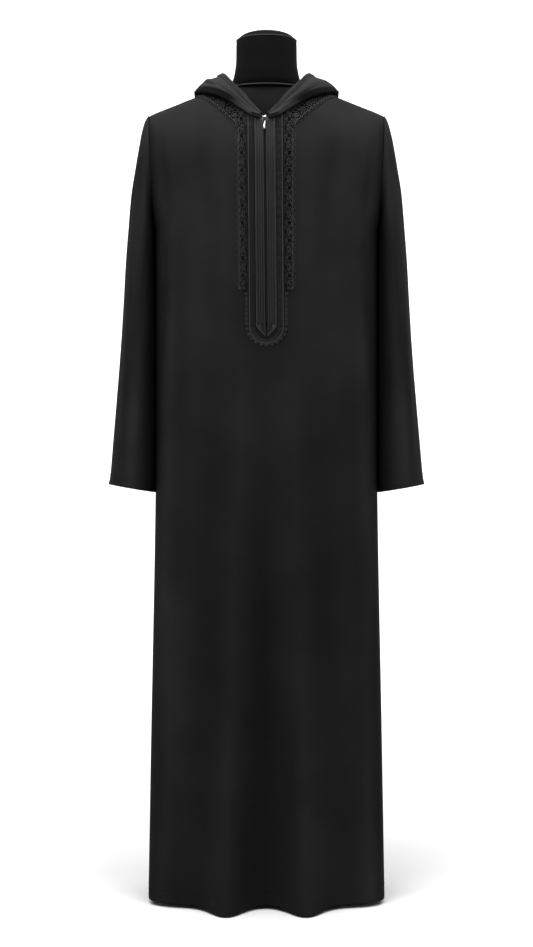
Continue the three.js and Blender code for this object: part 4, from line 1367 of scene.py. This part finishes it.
def wave(low, high, middle, swing, pitch, place, start=0.0):
    """A line that swings about its middle."""
    turn = 2 * math.pi / pitch
    return [place(a, middle + swing * math.sin(turn * a + start)) for a in spaced(low, high, 0.9)]


def inner_lines(low, high, at):
    """The pattern next to the band: a plait between two rows of small holes, and a waved cord."""
    places = spaced(low + 2, high - 2, HOLE_PITCH / 2)
    rows = [loop(a, s, 1.7, 1.4, at, 8) for a in places for s in HOLE_LINES]
    rows += [wave(low, high, 5.3, 1.5, HOLE_PITCH, at, start) for start in (0, math.pi)]
    rows.append(wave(low, high, WAVE_IN, 0.8, 12, at))
    rows.append([at(a, WAVE_IN + 2.0) for a in spaced(low, high, 3)])
    return rows


def border_cords(name, low, high, cord_low, cord_high, at):
    """What every stretch of the border shares: the net, the inner lines and the twisted cord."""
    crossed = net(low, high, NET_IN, NET_OUT, lambda a, s: at(a, s, NET_UP))
    twisted = rope(
        lambda d, s, up: at(cord_low + d, CORD_IN + s, TWIST["up"] + up),
        cord_high - cord_low, TWIST["offset"], TWIST["pitch"],
    )
    return [
        cords(name + "_net", crossed, NET_THICK, THREAD, sides=0),
        cords(name + "_rows", inner_lines(low, high, at), ROW_THICK, THREAD),
        cords(name + "_twist", twisted, TWIST["thick"], SATIN_CORD),
    ]


def scroll_pair(middle, hand, at):
    """A large spiral, a small one that answers it, and a leaf arc between them."""
    leaf = [
        at(middle - SCROLL_PITCH / 2 + 5.0 * math.cos(t), SCROLL_IN + 1.5 + hand * 3.6 * math.sin(t))
        for t in [math.pi * k / 8 for k in range(9)]
    ]
    return [
        scroll(middle, SCROLL_IN + hand * 0.8, SCROLL_RADIUS, 1.6, hand, at, start=-hand * 0.6),
        scroll(middle - SCROLL_PITCH / 2, SCROLL_IN - 3.4 * hand, 2.7, 1.4, -hand, at, start=2.0),
        leaf,
    ]


def chain_link(middle, at):
    """A small loop inside a larger one, for the chain that goes round the U."""
    return [loop(middle, 15.4, 3.0, 2.3, at, 12), loop(middle, 15.4, 1.1, 0.8, at, 6)]


def side_embroidery(side, name):
    def at(z, sideways, up=LACE_UP):
        return lace_at(side, z, sideways, up)

    stations = spaced(ZIP_END + 1, BORDER_TOP, 1.5)
    ground = ground_strip(
        name + "_ground", spaced(0, 1, 0.2), stations,
        lambda t, z: at(z, t * (border_wide(z) - LOOPS_OUT), GROUND_THICK), (0.03, 0.34),
    )
    fine, rows, twist = border_cords(name, ZIP_END, BORDER_TOP + 0.6, ZIP_END + 1, BORDER_TOP - 1, at)
    motifs = []
    hand = 1
    centre = BORDER_TOP - 7
    while centre > TAPER_TOP + 4:
        motifs += scroll_pair(centre, hand, at)
        centre -= SCROLL_PITCH
        hand = -hand
    for k in range(int((BORDER_TOP - TAPER_TOP) / SCALLOP)):
        middle = TAPER_TOP + SCALLOP * (k + 0.5)
        motifs.append(loop(middle, 29.2, 3.1, 2.5, at, 12))
        motifs.append(loop(middle - SCALLOP / 2, 27.6, 1.5, 1.5, at, 8))
    motifs.append([at(z, border_wide(z) - 4.6) for z in spaced(TAPER_TOP, BORDER_TOP - 0.5, 2)])
    for middle in spaced(ZIP_END + 5, TAPER_END - 4, LINK_PITCH):
        motifs += chain_link(middle, at)
    for middle, sideways in ((TAPER_TOP - 2, 19.5), (TAPER_TOP - 2, 25.5), (TAPER_END + 5, 16.5)):
        motifs.append(scroll(middle, sideways, 3.0, 1.6, hand, at))
    drawn = cords(name + "_scrolls", motifs, LACE_THICK, LACE_CORD)
    return joined(name, [ground, fine, rows, drawn, twist])


embroidery = {name: side_embroidery(side, f"scroll_embroidery_{name}") for name, side in SIDES}
print("embroidery faces", {name: len(o.data.polygons) for name, o in embroidery.items()})


# %% The U under the placket
def foot_at(turn, share, up=LACE_UP):
    outer = (-BORDER_OUT_LOW * math.cos(turn), ZIP_END - (ZIP_END - U_BOTTOM) * math.sin(turn))
    inner = (-BORDER_IN * math.cos(turn), ZIP_END - 1 - (ZIP_END - BAND_TIP + 3) * math.sin(turn))
    return off_body(-1, mix(inner[0], outer[0], share), mix(inner[1], outer[1], share), TRIM_LIFT + up)


FOOT_LENGTH = 95.0  # along the middle of the U


def foot_embroidery():
    wide = BORDER_OUT_LOW - BORDER_IN
    turns = spaced(0, math.pi, math.pi / 40)
    ground = ground_strip(
        "foot_ground", spaced(0, 1, 0.2), turns, lambda t, turn: foot_at(turn, t, GROUND_THICK), (0.02, 0.1)
    )
    length = FOOT_LENGTH

    def at(distance, sideways, up=LACE_UP):
        return foot_at(math.pi * distance / length, sideways / wide, up)

    fine, rows, twist = border_cords("foot", 0, length, 0, length, at)
    loops = [line for a in spaced(4, length - 4, LINK_PITCH) for line in chain_link(a, at)]
    chain = cords("foot_chain", loops, CHAIN_THICK, LACE_CORD)
    return joined("foot_embroidery", [ground, fine, rows, twist, chain])


foot_trim = foot_embroidery()

# %% [markdown]
# ## Embroidery round the neckline
# From the top of each border the scallops turn out along the neckline and end at the shoulder seam,
# half hidden by the roll of the hood. Their place is read between two ovals in plan.

# %% Neckline embroidery
NECK_BORDER = {
    "innerX": 78, "innerY": 107.5, "outerX": NECK_TRIM_HALF, "outerY": NECK_TRIM_FRONT,
    "start": 13.5, "corner": 26, "end": 86,
}


def over_oval(half_x, half_y, turn):
    column = half_x * math.sin(turn)
    deep = depth_at(-1, column, CHEST_LINE)
    forward = min(half_y * math.cos(turn), deep)
    return column, 1 + math.acos(forward / deep) / (math.pi / 2)


def neck_at(side, degrees, share, up=LACE_UP):
    """share is 0 at the outer edge and 1 at the hood's seam."""
    nb = NECK_BORDER
    turn = math.radians(degrees)
    inner = over_oval(nb["innerX"], nb["innerY"], turn)
    if degrees < nb["corner"]:
        part = (degrees - nb["start"]) / (nb["corner"] - nb["start"])
        column = mix(BORDER_IN + 0.6, nb["outerX"] * math.sin(math.radians(nb["corner"])), part)
        outer = (column, level_of(column, BORDER_TOP + 1))
    else:
        outer = over_oval(nb["outerX"], nb["outerY"], turn)
    column, level = mix(outer[0], inner[0], share), mix(outer[1], inner[1], share)
    return off_level(-1, side * column, level, TRIM_LIFT + up)


def neck_embroidery(side, name):
    nb = NECK_BORDER
    turns = spaced(nb["start"], nb["end"], 1.5)
    ground = ground_strip(
        name + "_ground", spaced(0.02, 1, 0.14), turns,
        lambda t, turn: neck_at(side, turn, t, GROUND_THICK), (0.04, 0.12),
    )

    def above(z, sideways, up=LACE_UP):
        turn = math.asin((BORDER_IN + sideways) / nb["innerX"])
        column, level = over_oval(nb["innerX"], nb["innerY"], turn)
        return lace_at(side, min(z, body_point(-1, column, level).z - 1.5), sideways, up)

    def at(turn, share, up=LACE_UP):
        return neck_at(side, turn, share, up)

    fine, rows, twist = border_cords(name, BORDER_TOP + 1, TRIM_TOP, BORDER_TOP, TRIM_TOP, above)
    lines = scroll_pair(BORDER_TOP + 8, -1, above)
    lines += scroll_pair(BORDER_TOP + 8 + SCROLL_PITCH, 1, above)
    lines.append(loop(BORDER_TOP + 5, 29.2, 3.0, 2.5, above, 12))
    lines.append(scroll(BORDER_TOP + 13, 30.0, 4.6, 1.9, 1, above))
    lines.append(scroll(BORDER_TOP + 23, 32.0, 4.2, 1.9, -1, above))
    for k, turn in enumerate(spaced(nb["corner"] + 0.5, nb["end"] - 2, 3.3)):
        lines.append(loop(turn, 0.07, 1.35, 0.065, at, 12))
        lines.append(loop(turn + 1.65, 0.17, 0.8, 0.035, at, 8))
        lines.append(loop(turn, 0.66, 1.0, 0.045, at, 8))
        if k % 2:
            lines += scroll_on_neck(side, turn, 1 if k % 4 == 1 else -1)
    for share, swing in ((0.76, 0.02), (0.83, 0.0), (0.9, 0.03)):
        turned = spaced(nb["corner"] - 2, nb["end"] - 1, 0.5)
        lines.append([at(t, share + swing * math.sin(t * 2.2)) for t in turned])
    drawn = cords(name + "_scrolls", lines, LACE_THICK, LACE_CORD)
    return joined(name, [ground, drawn, rows, fine, twist])


def scroll_on_neck(side, middle, hand):
    """A rosette of one spiral with a small leaf on each side."""
    line = []
    for share in spaced(0, 1, 1 / 34):
        turn = 2 * math.pi * 1.6 * share * hand
        r = 1 - 0.85 * share
        line.append(neck_at(side, middle + 2.5 * r * math.sin(turn), 0.38 + 0.17 * r * math.cos(turn)))
    leaves = []
    for way in (-1, 1):
        leaves.append([
            neck_at(side, middle + 3.1 + 0.9 * math.sin(t), 0.4 + way * (0.05 + 0.12 * t / math.pi))
            for t in [math.pi * k / 6 for k in range(7)]
        ])
    return [line, *leaves]


neck_trim = {name: neck_embroidery(side, f"neck_embroidery_{name}") for name, side in SIDES}

# %% [markdown]
# ## Neckline piping
# A short twisted satin piping closes the front of the neckline on each side of the slider.


# %% Piping
PIPING_LIFT = 2.1


def neck_piping(side, name):
    stops = []
    for degrees in spaced(HOOD_TURNS[0], 15, 2.5):
        fold_top = hood_lines[side][HOOD_TURNS.index(degrees)][0][30]
        stops.append(fold_top + Vector((0, -0.9, 0.45)).normalized() * PIPING_LIFT)
    line = through(stops)

    def place(distance, sideways, up):
        here = along(line, distance)
        ahead = (along(line, distance + 0.5) - along(line, distance - 0.5)).normalized()
        out = Vector((0, -1, 0.6)).normalized()
        return here + ahead.cross(out).normalized() * sideways + out * up

    return cords(name, rope(place, line[1][-1], 0.75, 6.5, step=0.6), 0.95, SATIN, sides=2)


piping = {name: neck_piping(side, f"neck_cord_{name}") for name, side in SIDES}

# %% [markdown]
# ## Zip slider and pull tab
# Both are small metal castings. The solids have their true shape, so each copy is merged, cleaned
# of flat inner edges and bevelled, because a cast edge is never sharp.


# %% Slider and tab
def cast_copy(node, name, edge):
    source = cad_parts[node]
    bm = bmesh.new()
    bm.from_mesh(source.data)
    bm.transform(source.matrix_world)
    bmesh.ops.remove_doubles(bm, verts=bm.verts, dist=1e-6)
    bmesh.ops.dissolve_limit(bm, angle_limit=math.radians(4), verts=bm.verts, edges=bm.edges)
    sharp = [e for e in bm.edges if len(e.link_faces) == 2 and e.calc_face_angle() > math.radians(40)]
    bmesh.ops.bevel(
        bm, geom=sharp, offset=edge * MM, offset_type="OFFSET", segments=2, profile=0.5, affect="EDGES",
        clamp_overlap=True, material=-1,
    )
    for face in bm.faces:
        face.smooth = True
    return made_of(name, bm, NICKEL, ENAMEL)


def enamelled(piece, is_dark):
    """Gives the faces that is_dark(centre, normal) picks the dark enamel."""
    for face in piece.data.polygons:
        face.material_index = 1 if is_dark(face.center / MM, face.normal) else 0


def rimmed(piece, rim):
    """A dark ring round the tab's two faces: the inset ring takes the dark material, the middle stays
    bright.
    """
    bm = bmesh.new()
    bm.from_mesh(piece.data)
    wide = [face for face in bm.faces if abs(face.normal.y) > 0.75 and face.calc_area() > 1e-6]
    ring = bmesh.ops.inset_region(bm, faces=wide, thickness=rim * MM, use_even_offset=True)["faces"]
    bright = set(wide)
    for face in bm.faces:
        face.material_index = 0 if face in bright else 1
    bm.to_mesh(piece.data)
    bm.free()
    return len(ring)


slider = cast_copy("zip_slider", "slider_casting", 0.3)
crown = max(v.co.z for v in slider.data.vertices) / MM - 3.2
slide_middle = lean_at(crown)
enamelled(slider, lambda centre, normal: centre.z < crown or abs(centre.x - slide_middle) > 2.2)
pull_tab = cast_copy("zip_pull_tab", "tab_casting", 0.22)
print("tab rim faces", rimmed(pull_tab, 1.2))
print("slider crown above", round(crown, 1))

# %% [markdown]
# ## Dress form
# The form is padded and covered in black jersey. A rolled seam closes the cover at the base of the
# neck, a finer one goes round its top, and the cover is gathered over that, where a real form has
# its cap.

# %% Form tables and pieces
FORM = table(
    "z half front back",
    (690, 150, 88, 92),
    (760, 158, 94, 98),
    (880, 154, 93, 96),
    (1010, 148, 92, 94),
    (1130, 160, 98, 100),
    (1240, 176, 101, 104),
    (1310, 180, 98, 102),
    (1350, 179, 91, 96),
    (1376, 176, 84, 88),
    (1394, 166, 78, 81),
    (1410, 138, 68, 68),
    (1424, 105, 55, 56),
    (1436, 76, 45, 47),
)
NECK = table(
    "z half front back",
    (1436.3, 66, 45, 46),
    (1446, 63, 52, 50),
    (1462, 58, 54, 51),
    (1484, 54.5, 54, 52),
    (1521, 53.6, 54, 52),
    (1527, 52.2, 52.6, 50.6),
)
NECK_CAP = table(
    "z half front back",
    (1527.3, 50.4, 50.8, 48.8),
    (1533, 45, 45.5, 43.5),
    (1538.5, 31, 32, 30),
    (1541, 12, 12, 12),
)
NECK_SEAMS = table("name z out thick", ("base_seam", 1440.2, 1.2, 1.5), ("top_seam", 1525.0, 0.4, 1.0))


def oval_at(tracks, z, degrees, extra=0.0):
    turn = math.radians(degrees)
    deep = tracks["front"](z) if math.sin(turn) < 0 else tracks["back"](z)
    return Vector(((tracks["half"](z) + extra) * math.cos(turn), (deep + extra) * math.sin(turn), z))


def oval_tracks(rows):
    return {key: tracked(rows, "z", key) for key in ("half", "front", "back")}


def form_piece(rows, name, step, pleats=0):
    tracks = oval_tracks(rows)
    heights = spaced(rows[0]["z"], rows[-1]["z"], step)
    low, high = heights[0], heights[-1]

    def point(degrees, z):
        made = oval_at(tracks, z, degrees)
        if pleats:
            share = (z - low) / (high - low)
            gather = math.sin(math.radians(degrees * pleats) + 1.3 * math.sin(math.radians(degrees * 3)))
            made.z += -2.2 * (0.5 - 0.5 * gather) * min(1.0, share * 4) * (1 - share)
        return made

    bm, _ = grid_piece(spaced(0, 360, 2.5 if pleats else 4), heights, point, (0.6, 0.8), wrap=True)
    bmesh.ops.holes_fill(bm, edges=[e for e in bm.edges if e.is_boundary], sides=0)
    bmesh.ops.recalc_face_normals(bm, faces=bm.faces)
    return made_of(name, bm, JERSEY)


torso = form_piece(FORM, "form_torso_cover", 8)
neck = form_piece(NECK, "form_neck_cover", 3)
cap = form_piece(NECK_CAP, "form_neck_gathers", 0.9, pleats=34)
neck_tracks = oval_tracks(NECK)
rings = []
for row in NECK_SEAMS:
    ring = [oval_at(neck_tracks, row["z"], degrees, row["out"]) for degrees in spaced(0, 360, 4)]
    rings.append(cords(row["name"], [ring], row["thick"], SEAM_JERSEY, sides=3))
neck_seam = joined("form_neck_seam", rings)

# %% [markdown]
# ## Stand
# The tube, flange and base are plain machined and painted parts, so their solids stay and only get
# their finish.

# %% Finishes on the kept solids
for node, material in (("form_pole", STEEL), ("form_flange", PAINT), ("form_base", PAINT)):
    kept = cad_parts[node]
    kept.data.materials.clear()
    kept.data.materials.append(material)

# %% [markdown]
# ## What each piece stands for
# Each piece rides on its body and takes the place of its solid.


# %% Pieces and bodies
def stands_for(piece, nodes, body=ROBE):
    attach(piece, body)
    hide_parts(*nodes)


stands_for(front, ["front_panel"])
stands_for(back, ["back_panel"])
for name in ("left", "right"):
    stands_for(sleeves[name], [f"sleeve_{name}"])
    stands_for(hoods[name], [f"hood_{name}"])
    stands_for(hood_braids[name], [f"hood_braid_{name}"])
    stands_for(placket[name], [f"placket_band_{name}"])
    stands_for(embroidery[name], [f"embroidery_border_{name}"])
    stands_for(neck_trim[name], [f"neck_border_{name}"])
    stands_for(piping[name], [f"neck_piping_{name}"])
stands_for(foot_trim, ["embroidery_foot"])
stands_for(zip_coil, ["zip_chain"])
stands_for(slider, ["zip_slider"])
stands_for(pull_tab, ["zip_pull_tab"], TAB)
stands_for(torso, ["form_torso"])
stands_for(neck, ["form_neck"])
stands_for(cap, ["form_neck_cap"])
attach(neck_seam, ROBE)
